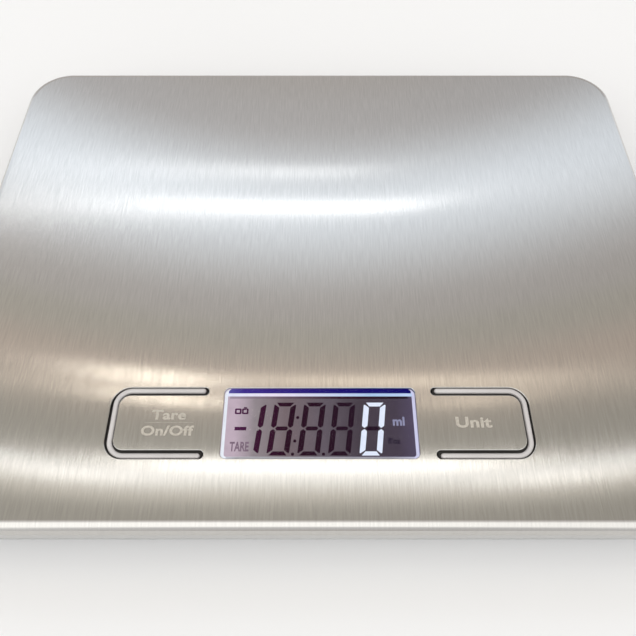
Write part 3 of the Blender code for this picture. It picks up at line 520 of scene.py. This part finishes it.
def make_cover():
    builder = bmesh.new()
    flat_edge = rounded_rectangle(WIDTH / 2 - ROLL_RADIUS, DEPTH / 2 - ROLL_RADIUS,
                                  COVER_RADIUS - ROLL_RADIUS, CORNER_STEPS)
    rings = []
    along = {}
    for inset, height, length in cover_profile():
        ring = rounded_rectangle(WIDTH / 2 - inset, DEPTH / 2 - inset, COVER_RADIUS - inset,
                                 CORNER_STEPS)
        verts = ring_verts(builder, ring, height)
        for vert, point, start in zip(verts, ring, flat_edge):
            outward = point - start
            direction = outward.normalized() if outward.length > 1e-7 else Vector((0.0, 0.0))
            along[vert] = start + direction * length
        rings.append(verts)
    for upper, lower in zip(rings, rings[1:]):
        skirt(builder, upper, lower)
    top_holes = []
    bottom_holes = []
    for ring_at, closed in ((window_ring, True),
                            (lambda grow: opening_ring(-1, grow), False),
                            (lambda grow: opening_ring(1, grow), False)):
        levels = [ring_verts(builder, ring_at(inset), height) for inset, height in edge_profile()]
        for upper, lower in zip(levels, levels[1:]):
            skirt(builder, upper, lower, closed)
        if not closed:
            root = [level[0] for level in levels] + [level[-1] for level in reversed(levels)]
            builder.faces.new(root)
        top_holes.append(levels[0])
        bottom_holes.append(levels[-1])
    fill(builder, rings[0], top_holes, True)
    fill(builder, rings[-1], bottom_holes, False)
    bmesh.ops.recalc_face_normals(builder, faces=builder.faces)
    sheet_uv(builder, along)
    cover = mesh_object("platform_sheet", builder)
    finish_sheet(cover)
    link(cover, STEEL_FINISH)
    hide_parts("steel_cover")


def finish_sheet(obj):
    """Smooth the rolls and roundings, and keep the flat face's shading flat right to its edges."""
    mesh = obj.data
    mesh.shade_smooth()
    mesh.set_sharp_from_angle(angle=math.radians(40))
    flat = {vertex for polygon in mesh.polygons if polygon.normal.z > 0.99999
            for vertex in polygon.vertices}
    normals = [corner.vector.copy() for corner in mesh.corner_normals]
    for loop in mesh.loops:
        if loop.vertex_index in flat and normals[loop.index].z > 0.5:
            normals[loop.index] = Vector((0.0, 0.0, 1.0))
    mesh.normals_split_custom_set(normals)


def tongue_half(grow):
    """One long edge of a tongue from its root to its tip; grow is how far it is drawn in."""
    stations = [ROOT_X + (BEND_END - ROOT_X) * step / BEND_STATIONS
                for step in range(BEND_STATIONS)]
    stations += LEVEL_STATIONS
    radius = SLOT_RADIUS - SLOT_WIDTH
    half = TONGUE_HALF - grow
    points = [Vector((x, -half)) for x in stations]
    points += arc((TONGUE_FAR - radius, -TONGUE_HALF + radius), radius - grow, -90, 0, TIP_STEPS)
    return points


def make_tongue(label, side):
    """The button: a tongue of the sheet from its root to its tip, with points closer together where a
    pressed tongue bends.
    """
    builder = bmesh.new()
    levels = []
    for inset, height in edge_profile():
        near = tongue_half(inset)
        far = [Vector((point.x, -point.y)) for point in near]
        rows = []
        for row in (near, far):
            placed = [Vector((side * point.x, DISPLAY_Y + point.y)) for point in row]
            rows.append(ring_verts(builder, placed, height))
        levels.append(rows)
    for upper, lower in zip(levels, levels[1:]):
        for first, second in zip(upper, lower):
            skirt(builder, first, second, False)
        builder.faces.new((upper[0][-1], upper[1][-1], lower[1][-1], lower[0][-1]))
    for near, far in (levels[0], levels[-1]):
        for index in range(len(near) - 1):
            builder.faces.new((near[index], near[index + 1], far[index + 1], far[index]))
    root = [level[0][0] for level in levels] + [level[1][0] for level in reversed(levels)]
    builder.faces.new(root)
    bmesh.ops.recalc_face_normals(builder, faces=builder.faces)
    sheet_uv(builder, {})
    tongue = mesh_object(label + "_tongue", builder)
    finish_sheet(tongue)
    link(tongue, STEEL_FINISH, body=None)
    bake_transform(tongue)
    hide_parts(label + "_button")


# ------------------------------------------------------------------ slot ribs

RIB_WIDTH = 0.00134
RIB_OFFSET = 0.00029            # how much nearer the bead lies to the slot's long outer edges
RIB_PLACE = Vector((0.00008, DISPLAY_Y + 0.00012))      # a little to the right and the rear
RIB_END = 0.0309
RIB_CROWN = 0.8                 # the bead's rounding, as a share of a half circle
RIB_DROP = 0.65                 # how much lower the bead is at its tips
RIB_STEPS = 10
RIB_TIP_STEPS = 6
FLANGE_BOTTOM, FLANGE_TOP = 0.0170, 0.0189
FLANGE_END = 0.0298
FLANGE_WIDTH = 0.0064
FLANGE_SPREAD = 0.0016          # how far the flange's middle lies outside the slot's
FLANGE_STEPS = 10


def c_route(end_x, far_x, half, radius, steps):
    """The centre line of a slot from one end round to the other, with its outward normals."""
    bend = (far_x - radius, half - radius)
    points = [Vector((end_x, -half)), Vector(((end_x + bend[0]) / 2, -half))]
    normals = [Vector((0.0, -1.0)), Vector((0.0, -1.0))]
    for centre, start in (((bend[0], -bend[1]), -90), (bend, 0)):
        for point in arc(centre, radius, start, start + 90, steps):
            points.append(point)
            normals.append((point - Vector(centre)).normalized())
    points += [Vector(((end_x + bend[0]) / 2, half)), Vector((end_x, half))]
    normals += [Vector((0.0, 1.0)), Vector((0.0, 1.0))]
    return points, normals


def sweep(builder, points, normals, section, place, side):
    """Carry a section of (across, height) along a route on one side of the scale."""
    rings = []
    for point, normal in zip(points, normals):
        rings.append([builder.verts.new((place.x + side * (point.x + normal.x * across),
                                         place.y + point.y + normal.y * across, height))
                      for across, height in section])
    for first, second in zip(rings, rings[1:]):
        skirt(builder, first, second)
    return rings


def round_tip(builder, ring, point, normal, section, side):
    """Close a bead's end with a round tip, turned from its section."""
    for step in range(1, RIB_TIP_STEPS + 1):
        turn = math.radians(90 * step / RIB_TIP_STEPS)
        reach = RIB_WIDTH / 2 * math.sin(turn)
        shrink = math.cos(turn)
        share = 1 - RIB_DROP * (1 - shrink)
        level = [builder.verts.new((RIB_PLACE.x + side * (point.x - reach),
                                    RIB_PLACE.y + point.y + normal.y * across * shrink,
                                    FLANGE_TOP + (height - FLANGE_TOP) * share))
                 for across, height in section]
        skirt(builder, ring, level)
        ring = level
    builder.faces.new(ring)


def make_rib(label, side):
    """The pale rib in a slot: a half-round bead on a flat flange under the steel. The flange is dark
    as painted shade in the slot's gaps.
    """
    far = SLOT_FAR - SLOT_WIDTH / 2
    half = SLOT_HALF - SLOT_WIDTH / 2
    radius = SLOT_RADIUS - SLOT_WIDTH / 2
    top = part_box(label + "_slot_rib")[1][2]
    reach = RIB_WIDTH / 2
    section = [(-reach, FLANGE_TOP)]
    for step in range(RIB_STEPS + 1):
        angle = math.radians(180 * step / RIB_STEPS)
        section.append((-reach * math.cos(angle), top - reach * RIB_CROWN * (1 - math.sin(angle))))
    section.append((reach, FLANGE_TOP))
    builder = bmesh.new()
    points, normals = c_route(RIB_END, far, half + RIB_OFFSET, radius, SLOT_STEPS)
    rings = sweep(builder, points, normals, section, RIB_PLACE, side)
    for end in (0, -1):
        round_tip(builder, rings[end], points[end], normals[end], section, side)
    bmesh.ops.remove_doubles(builder, verts=builder.verts, dist=1e-6)
    bmesh.ops.recalc_face_normals(builder, faces=builder.faces)
    rib = mesh_object(label + "_rib_bead", builder)
    rib.data.shade_smooth()
    rib.data.set_sharp_from_angle(angle=math.radians(50))
    link(rib, RIB_GREY)
    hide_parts(label + "_slot_rib")

    # The flange: a real sheet under the slot, coloured dark as painted shade for the gaps beside the
    # bead.
    flange = bmesh.new()
    across = FLANGE_WIDTH / 2
    section = ((-across, FLANGE_BOTTOM), (-across, FLANGE_TOP), (across, FLANGE_TOP),
               (across, FLANGE_BOTTOM))
    points, normals = c_route(FLANGE_END, far + FLANGE_SPREAD, half + RIB_OFFSET + FLANGE_SPREAD,
                              radius + FLANGE_SPREAD, FLANGE_STEPS)
    rings = sweep(flange, points, normals, section, Vector((0.0, DISPLAY_Y)), side)
    for ring in (rings[0], rings[-1]):
        flange.faces.new(ring)
    bmesh.ops.recalc_face_normals(flange, faces=flange.faces)
    under = mesh_object(label + "_rib_shade_flange", flange)
    link(under, RIB_SHADOW)


# ------------------------------------------------------------------ display

def plate(name, outlines, bottom, top, material, body="housing"):
    """Flat outlines with thickness; the first is the outside, the rest are holes."""
    curve = bpy.data.curves.new(name, "CURVE")
    curve.dimensions = "2D"
    curve.fill_mode = "BOTH"
    curve.extrude = (top - bottom) / 2
    for outline in outlines:
        spline = curve.splines.new("POLY")
        spline.points.add(len(outline) - 1)
        for point, place in zip(spline.points, outline):
            point.co = (place[0], place[1], 0.0, 1.0)
        spline.use_cyclic_u = True
    guide = bpy.data.objects.new(name, curve)
    guide.location.z = (bottom + top) / 2
    bpy.context.scene.collection.objects.link(guide)
    return settle(guide, material, body)


def settle(guide, material, body):
    """A mesh of a curve's or text's final shape, in its place."""
    bpy.context.view_layer.update()
    graph = bpy.context.evaluated_depsgraph_get()
    mesh = bpy.data.meshes.new_from_object(guide.evaluated_get(graph))
    mesh.transform(guide.matrix_world)
    name = guide.name
    bpy.data.objects.remove(guide)
    builder = bmesh.new()
    builder.from_mesh(mesh)
    bmesh.ops.remove_doubles(builder, verts=builder.verts, dist=1e-7)
    bmesh.ops.recalc_face_normals(builder, faces=builder.faces)
    builder.to_mesh(mesh)
    builder.free()
    mesh.materials.clear()
    solid = bpy.data.objects.new(name, mesh)
    return link(solid, material, body)


def on_display(points):
    """Millimetres from the display's centre to metres on the scale."""
    return [(x * MM, DISPLAY_Y + y * MM) for x, y in points]


ART_BOTTOM = GLASS_TOP
ART_TOP = GLASS_TOP + 0.00004
ART_LAYER = 0.00001             # how much higher one print lies than another that it crosses

# The digits' sizes are in millimetres.
SLANT = 0.122
DIGIT_WIDTH = 5.75
DIGIT_FOOT = -8.1
DIGIT_HEIGHT = 14.1
DIGIT_LEFT = {1: -21.45, 2: -13.65, 3: -5.84, 4: 1.97, 5: 9.95}
SEGMENTS = ("top", "bottom", "middle", "upper_left", "lower_left", "upper_right", "lower_right")
UPRIGHT = 1.42                  # an upright stroke's width
LEVEL = 1.05                    # a level stroke's
SEGMENT_GAP = 0.34
POINTS = ((-5.8, 1.9), (-6.45, -4.35), (-6.95, -7.75), (0.9, -7.75))
POINT_RADIUS = 0.42

# Colours along the display, each at its millimetres from the middle. The light comes in at the
# left, so everything pales toward that end.
FIELD_TONES = (
    (-22.0, (205, 185, 200)), (-17.0, (155, 145, 150)), (-9.0, (125, 110, 115)),
    (1.0, (105, 95, 105)), (10.0, (75, 65, 75)), (20.0, (75, 65, 80)), (25.0, (90, 80, 105)),
)
SEGMENT_TONES = (
    (-24.0, (95, 35, 90)), (-16.0, (65, 10, 50)), (-8.0, (45, 0, 30)), (25.0, (30, 5, 35)),
)
NAVY_TONES = (
    (-25.0, (95, 90, 170)), (-20.0, (65, 45, 145)), (5.0, (25, 10, 115)), (25.0, (10, 5, 105)),
)
LIGHT_TONES = (
    (-25.0, (230, 235, 255)), (-12.0, (240, 230, 250)), (14.0, (175, 205, 240)),
    (25.0, (195, 215, 250)),
)
MAROON_TONES = (
    (-25.0, (175, 160, 175)), (-10.0, (110, 90, 105)), (5.0, (50, 15, 35)),
    (22.0, (25, 5, 20)), (25.0, (60, 45, 70)),
)
SIDE_TONES = (
    (-22.0, (240, 245, 255)), (0.0, (190, 185, 200)), (22.0, (195, 190, 230)),
    (25.0, (215, 215, 245)),
)
LOWER_TONES = (
    (-25.0, (215, 220, 235)), (-21.0, (170, 170, 175)), (18.0, (160, 160, 170)),
    (25.0, (205, 205, 230)),
)


def slanted(left, points):
    """Points of an upright digit, leaned over and put in its place."""
    return [(left + x + SLANT * y, DIGIT_FOOT + y) for x, y in points]


def segment_shapes():
    """The seven segments of an upright digit with its corner at the origin, in millimetres."""
    wide, high, stroke, level, gap = DIGIT_WIDTH, DIGIT_HEIGHT, UPRIGHT, LEVEL, SEGMENT_GAP / 2
    half = high / 2
    corner = stroke * 0.42
    inner = stroke + gap * 0.2
    shoulder = stroke + gap
    point = stroke * 0.72 + gap

    def flipped(shape):
        return [(x, high - y) for x, y in reversed(shape)]

    top = [(corner, high), (wide - corner, high), (wide - inner, high - level),
           (inner, high - level)]
    middle = [(point, half), (shoulder, half + level / 2), (wide - shoulder, half + level / 2),
              (wide - point, half), (wide - shoulder, half - level / 2),
              (shoulder, half - level / 2)]
    left = [(0, high - stroke * 0.5), (stroke * 0.18, high - stroke * 0.4),
            (stroke, high - level - gap * 2.2), (stroke, half + level / 2 + gap * 1.2),
            (stroke * 0.5, half + gap * 0.9), (0, half + level / 2 + gap)]
    shapes = {"top": top, "bottom": flipped(top), "middle": middle,
              "upper_left": left, "lower_left": flipped(left)}
    for name in ("upper", "lower"):
        shapes[name + "_right"] = [(wide - x, y) for x, y in shapes[name + "_left"]]
    return shapes


def make_segments(name, digit, names, material):
    outlines = [on_display(slanted(DIGIT_LEFT[digit], shape))
                for key, shape in segment_shapes().items() if key in names]
    return plate(name, outlines, ART_BOTTOM, ART_TOP, material)


def strip(name, left, right, low, high, material, layer=0, cut=0.0):
    """A straight printed or glowing band on the display, in millimetres from its centre."""
    outline = on_display(((left, low), (right, low), (right, high - cut), (right - cut, high),
                          (left + cut, high), (left, high - cut)))
    return plate(name, [outline], ART_BOTTOM, ART_TOP + layer * ART_LAYER, material)


def frame_line(name, half_x, low, high, radius, width, material):
    """A rounded rectangular line that runs round the field, in millimetres."""
    middle = (0.0, DISPLAY_Y + (low + high) / 2 * MM)
    rings = [rounded_rectangle((half_x - inset) * MM, ((high - low) / 2 - inset) * MM,
                               (radius - inset) * MM, 6, middle)
             for inset in (0.0, width)]
    return plate(name, rings, ART_BOTTOM, ART_TOP, material)


def dots(name, places, radius, material):
    outlines = [arc(place, radius * MM, 0, 330, 11) for place in on_display(places)]
    return plate(name, outlines, ART_BOTTOM, ART_TOP, material)


def lettering(name, words, centre, height, width, bottom, top, material, body="housing",
              spacing=1.0, bold=0.0):
    """Words in the built-in typeface, stretched to a height and width in metres."""
    curve = bpy.data.curves.new(name, "FONT")
    curve.body = words
    curve.align_x = "CENTER"
    curve.size = 1.0
    curve.space_character = spacing
    curve.offset = bold
    curve.resolution_u = 4
    guide = bpy.data.objects.new(name, curve)
    bpy.context.scene.collection.objects.link(guide)
    bpy.context.view_layer.update()
    low = Vector(guide.bound_box[0])
    high = Vector(guide.bound_box[6])
    scale = (width / (high.x - low.x), height / (high.y - low.y), 1.0)
    curve.extrude = (top - bottom) / 2
    guide.scale = scale
    guide.location = (centre[0] - scale[0] * (low.x + high.x) / 2,
                      centre[1] - scale[1] * (low.y + high.y) / 2, (top + bottom) / 2)
    return settle(guide, material, body)


def make_lcd():
    """The display as it is lit: the last digit and its unit bright, the others dark."""
    finish_node("lcd_glass", glowing_along_x("lcd_ground", FIELD_TONES, mottle=(420.0, 3.0, 0.90)))
    dark = glowing_along_x("lcd_dark_segment", SEGMENT_TONES, 0.8)
    bright = glowing("lcd_lit_segment", srgb(228, 236, 255), 1.15, 0.06, 700.0)
    for digit in (2, 3, 4):
        make_segments("digit_%d" % digit, digit, SEGMENTS, dark)
    make_segments("digit_1", 1, ("upper_right", "lower_right"), dark)
    make_segments("digit_5_lit", 5, [key for key in SEGMENTS if key != "middle"], bright)
    make_segments("digit_5_middle", 5, ("middle",), dark)
    dots("display_points", POINTS, POINT_RADIUS, dark)
    strip("minus_sign", -22.1, -19.05, -1.55, -0.62, dark)
    make_low_battery_sign(dark)

    faint = glowing("lcd_faint_sign", srgb(136, 114, 132), 1.0, 0.15, 900.0)
    lit_sign = glowing("lcd_lit_sign", srgb(150, 150, 182), 1.0, 0.1, 900.0)
    ghost = glowing("lcd_ghost_sign", srgb(40, 28, 52), 1.0, 0.3, 900.0)
    for name, words, x, y, height, width, finish, bold in (
            ("tare_sign", "TARE", -0.0206, -0.0058, 0.0025, 0.0049, faint, 0.03),
            ("ml_sign", "ml", 0.0205, 0.0009, 0.0024, 0.0031, lit_sign, 0.035),
            ("ounce_sign", "fl'oz", 0.0190, -0.0043, 0.0016, 0.0032, ghost, 0.03)):
        lettering(name, words, (x, DISPLAY_Y + y), height, width, ART_BOTTOM, ART_TOP, finish,
                  bold=bold)

    frame_line("light_frame", 25.2, -9.25, 9.75, 1.5, 0.8,
               glowing_along_x("display_side_light", SIDE_TONES, 1.08))
    strip("navy_band", -24.3, 24.3, 8.60, 9.9, glowing_along_x("display_navy_band", NAVY_TONES),
          layer=2, cut=0.7)
    strip("light_band", -24.6, 24.6, 7.74, 8.60,
          glowing_along_x("display_light_edge", LIGHT_TONES, 1.1), layer=1)
    strip("dark_band", -23.9, 23.4, 7.10, 7.74,
          glowing_along_x("display_dark_line", MAROON_TONES))
    strip("lower_edge", -23.8, 23.8, -9.24, -8.50,
          glowing_along_x("display_lower_edge", LOWER_TONES), layer=2)


def make_low_battery_sign(dark):
    """Two small cells side by side, the second with its cap up."""
    octagon = ((1, -0.75), (1, 0.75), (0.75, 1), (-0.75, 1), (-1, 0.75), (-1, -0.75),
               (-0.75, -1), (0.75, -1))
    middle_y = 3.6
    outlines = []
    for middle_x in (-21.45, -19.6):
        for half in (0.86, 0.42):
            outlines.append(on_display([(middle_x + half * x, middle_y + half * 0.9 * y)
                                        for x, y in octagon]))
    cap = ((-20.0, 4.43), (-19.2, 4.43), (-19.2, 4.75), (-20.0, 4.75))
    plate("low_battery_sign", outlines, ART_BOTTOM, ART_TOP, dark)
    plate("low_battery_cap", [on_display(cap)], ART_BOTTOM, ART_TOP, dark)


LENS_GAP = 0.0003               # clearance between the lens and the steel
LENS_SOFT = 0.00015             # how far the lens's edge is rounded over
LENS_STEP = 0.0191              # the height of its flange
LENS_CORNER = 0.001


def make_window():
    """The clear lens: a raised face with a softened edge on a flange under the steel."""
    flange = (LENS_HIGH.x - LENS_LOW.x) / 2, (LENS_HIGH.y - LENS_LOW.y) / 2
    rings = [(WINDOW_HALF[0] - inset, WINDOW_HALF[1] - inset, WINDOW_RADIUS - LENS_GAP, height)
             for inset, height in ((LENS_GAP + LENS_SOFT, LENS_HIGH.z),
                                   (LENS_GAP + LENS_SOFT * 0.3, LENS_HIGH.z - LENS_SOFT * 0.3),
                                   (LENS_GAP, LENS_HIGH.z - LENS_SOFT),
                                   (LENS_GAP, LENS_STEP))]
    rings += [(*flange, LENS_CORNER, LENS_STEP), (*flange, LENS_CORNER, LENS_LOW.z)]
    builder = bmesh.new()
    verts = []
    for half_x, half_y, radius, height in rings:
        ring = rounded_rectangle(half_x, half_y, radius, WINDOW_STEPS, (0.0, DISPLAY_Y))
        verts.append(ring_verts(builder, ring, height))
    for upper, lower in zip(verts, verts[1:]):
        skirt(builder, upper, lower)
    for end in (verts[0], verts[-1]):
        builder.faces.new(end)
    bmesh.ops.recalc_face_normals(builder, faces=builder.faces)
    lens = mesh_object("window_lens", builder)
    lens.data.shade_smooth()
    lens.data.set_sharp_from_angle(angle=math.radians(30))
    link(lens, WINDOW_CLEAR)
    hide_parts("display_window")


# ------------------------------------------------------------------ printed words on the steel

PRINT_BOTTOM = TOP
PRINT_TOP = TOP + 0.00006
# name, words, place from the display's middle, height, width, body
PRINTS = (
    ("tare_word", "Tare", -0.03895, 0.0019, 0.0026, 0.0089, "tare_button"),
    ("on_off_word", "On/Off", -0.0389, -0.00228, 0.00265, 0.0134, "tare_button"),
    ("unit_word", "Unit", 0.0395, -0.00005, 0.0029, 0.0092, "unit_button"),
)
DIVIDER = ((-45.0, -0.13), (-32.6, -0.13), (-32.6, -0.07), (-45.0, -0.07))


def make_prints():
    ink = print_ink()
    for name, words, x, y, height, width, body in PRINTS:
        word = lettering(name, words, (x, DISPLAY_Y + y), height, width, PRINT_BOTTOM, PRINT_TOP,
                         ink, body, spacing=1.04, bold=0.03)
    rule = plate("word_divider", [on_display(DIVIDER)], PRINT_BOTTOM, PRINT_TOP, ink,
                 "tare_button")


# ------------------------------------------------------------------ camera, floor and light

VIEW_DROP = 0.0173              # how far down the view is shifted, as a share of its width
CAMERA_LENS = 33.28
CAMERA_TILT = 30                # degrees from straight down
CAMERA_PLACE = Vector((-0.0005, DISPLAY_Y - 0.0499, TOP + 0.1455))


def make_camera():
    data = bpy.data.cameras.new("camera")
    data.sensor_width = 36.0
    data.lens = CAMERA_LENS
    data.shift_y = -VIEW_DROP
    camera = bpy.data.objects.new("camera", data)
    bpy.context.scene.collection.objects.link(camera)
    camera.location = CAMERA_PLACE
    camera.rotation_euler = (math.radians(CAMERA_TILT), 0.0, 0.0)
    bpy.context.scene.camera = camera


def area_light(name, place, target, size, energy, colour):
    data = bpy.data.lights.new(name, "AREA")
    data.shape = "RECTANGLE"
    data.size, data.size_y = size
    data.energy = energy
    data.color = colour
    lamp = bpy.data.objects.new(name, data)
    bpy.context.scene.collection.objects.link(lamp)
    lamp.visible_camera = False
    lamp.location = place
    lamp.rotation_euler = (target - place).to_track_quat("-Z", "Y").to_euler()


def make_floor():
    """A plain pale table, just under the feet."""
    builder = bmesh.new()
    bmesh.ops.create_grid(builder, x_segments=1, y_segments=1, size=3.0)
    floor = mesh_object("floor", builder)
    made = Nodes("floor_paper")
    tone = made.noise(made.position(), 3.0, 2.0)
    made.feed(made.ramp(tone, ((0.3, grey(0.86)), (0.7, grey(0.88)))), "Base Color")
    made.set(Roughness=0.9)
    link(floor, made.material, None)
    floor.location.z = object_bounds()[0][2] - 0.0002


def make_backdrop():
    """A pale surround that only the camera sees, in place of the studio's lights."""
    builder = bmesh.new()
    bmesh.ops.create_icosphere(builder, subdivisions=4, radius=2.4)
    backdrop = mesh_object("backdrop", builder)
    backdrop.data.shade_smooth()
    made = Nodes("backdrop_paper")
    made.set(Base_Color=grey(0.0), Specular_IOR_Level=0.0, Emission_Strength=1.0)
    tone = made.noise(made.position(), 0.8, 1.0)
    made.feed(made.ramp(tone, ((0.3, (0.80, 0.79, 0.78, 1)), (0.7, (0.86, 0.85, 0.84, 1)))),
              "Emission Color")
    link(backdrop, made.material, None)
    for rays in ("diffuse", "glossy", "transmission", "shadow"):
        setattr(backdrop, "visible_" + rays, False)


# The tone that the steel takes from the studio's wall, at heights in degrees from level at the
# rear, over the top and down to level in front.
WARM_WALL = (165, 160, 155)
COOL_BAND = (220, 225, 230)
BROWN_BAND = (160, 155, 145)
DIM_BAND = (150, 145, 135)
WHITE_WALL = (255, 252, 246)
STUDIO = (
    (38.0, WARM_WALL), (42.5, (170, 167, 165)), (50.0, COOL_BAND), (60.5, WARM_WALL),
    (63.0, BROWN_BAND), (67.0, (170, 157, 145)), (73.0, DIM_BAND), (75.2, BROWN_BAND),
    (75.6, WHITE_WALL), (76.0, WHITE_WALL), (77.4, (200, 193, 180)), (79.0, DIM_BAND),
    (90.0, (190, 185, 180)), (108.0, WHITE_WALL), (132.0, WHITE_WALL), (150.0, (185, 183, 180)),
    (180.0, WARM_WALL),
)
# name, height and tallness in degrees, width and sideways place per metre away, brightness, colour
LAMPS = (
    ("cool_strip_high", 50.3, 1.0, 1.1, -0.38, 1.75, (0.96, 0.98, 1.0)),
    ("cool_strip_low", 47.0, 1.0, 1.0, -0.42, 0.8, (0.94, 0.97, 1.0)),
    ("cool_strip_right", 48.6, 3.6, 0.40, 0.40, 0.10, (0.96, 0.98, 1.0)),
    ("warm_lamp_left", 66.8, 1.4, 0.11, -0.28, 3.5, (1.0, 0.92, 0.80)),
    ("warm_lamp_left_low", 68.8, 1.2, 0.09, -0.258, 4.3, (1.0, 0.90, 0.76)),
    ("warm_lamp_right", 67.3, 1.0, 0.40, 0.17, 0.65, (1.0, 0.88, 0.70)),
    ("warm_lamp_right_low", 68.9, 1.4, 0.12, 0.26, 1.0, (1.0, 0.86, 0.68)),
    ("warm_strip", 67.0, 0.8, 1.6, 0.0, 0.4, (1.0, 0.88, 0.72)),
    ("near_strip", 74.95, 1.1, 0.64, 0.0, 2.3, (1.0, 0.98, 0.95)),
    ("near_strip_left", 75.9, 1.1, 0.14, -0.395, 1.0, (1.0, 0.97, 0.93)),
    ("near_strip_right", 76.2, 1.1, 0.14, 0.40, 1.2, (1.0, 0.97, 0.93)),
)
BOWED = (0.85, 0.95)            # the bands are bowed below the first height, straight above the second
SHADE_RIGHT = 0.90              # the studio's brightness at its right, as a share
REACH = 1.5                     # how far the lamps stand from the scale


def make_world():
    """The studio's wall: bands by height, which dim toward the right."""
    world = bpy.data.worlds.new("studio")
    bpy.context.scene.world = world
    made = Tree(world)
    background = made.tree.nodes["Background"]
    parts = made.add("SeparateXYZ")
    made.join(made.add("TexCoord").outputs["Generated"], parts.inputs["Vector"])
    across, rearward, up = (parts.outputs[axis] for axis in "XYZ")
    aside = made.add("Math", operation="MULTIPLY")
    made.join(made.span(up, *BOWED, 1.0, 0.0), aside.inputs[0])
    made.join(across, aside.inputs[1])
    upright = made.add("CombineXYZ")
    made.join(aside.outputs["Value"], upright.inputs["X"])
    made.join(up, upright.inputs["Z"])
    length = made.add("VectorMath", operation="LENGTH")
    made.join(upright.outputs["Vector"], length.inputs[0])
    height = made.add("Math", operation="ARCTAN2")
    made.join(length.outputs["Value"], height.inputs[0])
    made.join(rearward, height.inputs[1])
    low, high = STUDIO[0][0], STUDIO[-1][0]
    stops = []
    for degrees, shown in STUDIO:
        light = (channel / tone for channel, tone in zip(srgb(*shown), STEEL_TONE))
        stops.append(((degrees - low) / (high - low), (*light, 1.0)))
    share = made.span(height.outputs["Value"], math.radians(low), math.radians(high))
    made.join(made.ramp(share, stops, "EASE"), background.inputs["Color"])
    made.join(made.span(across, 0.0, 0.4, 1.0, SHADE_RIGHT), background.inputs["Strength"])


def make_lamps():
    """Soft strips, each placed where the steel mirrors it at its height and side."""
    mirror_eye = Vector((CAMERA_PLACE.x, CAMERA_PLACE.y, 2 * TOP - CAMERA_PLACE.z))
    for name, degrees, tall, width, aside, brightness, colour in LAMPS:
        elevation = math.radians(degrees)
        place = mirror_eye + REACH * Vector((aside, math.cos(elevation), math.sin(elevation)))
        target = mirror_eye + REACH * Vector((aside, 0.0, 0.0))
        size = (width * REACH, 2 * REACH * math.tan(math.radians(tall) / 2))
        area_light(name, place, target, size, brightness * math.pi * size[0] * size[1], colour)


# ------------------------------------------------------------------ the whole scale

make_cover()
for label, side in SIDES.items():
    make_tongue(label, side)
    make_rib(label, side)
make_lcd()
make_window()
make_prints()
finish_packed_nodes()

make_floor()
make_backdrop()
make_camera()
make_world()
make_lamps()
bpy.context.scene.view_settings.view_transform = "Standard"
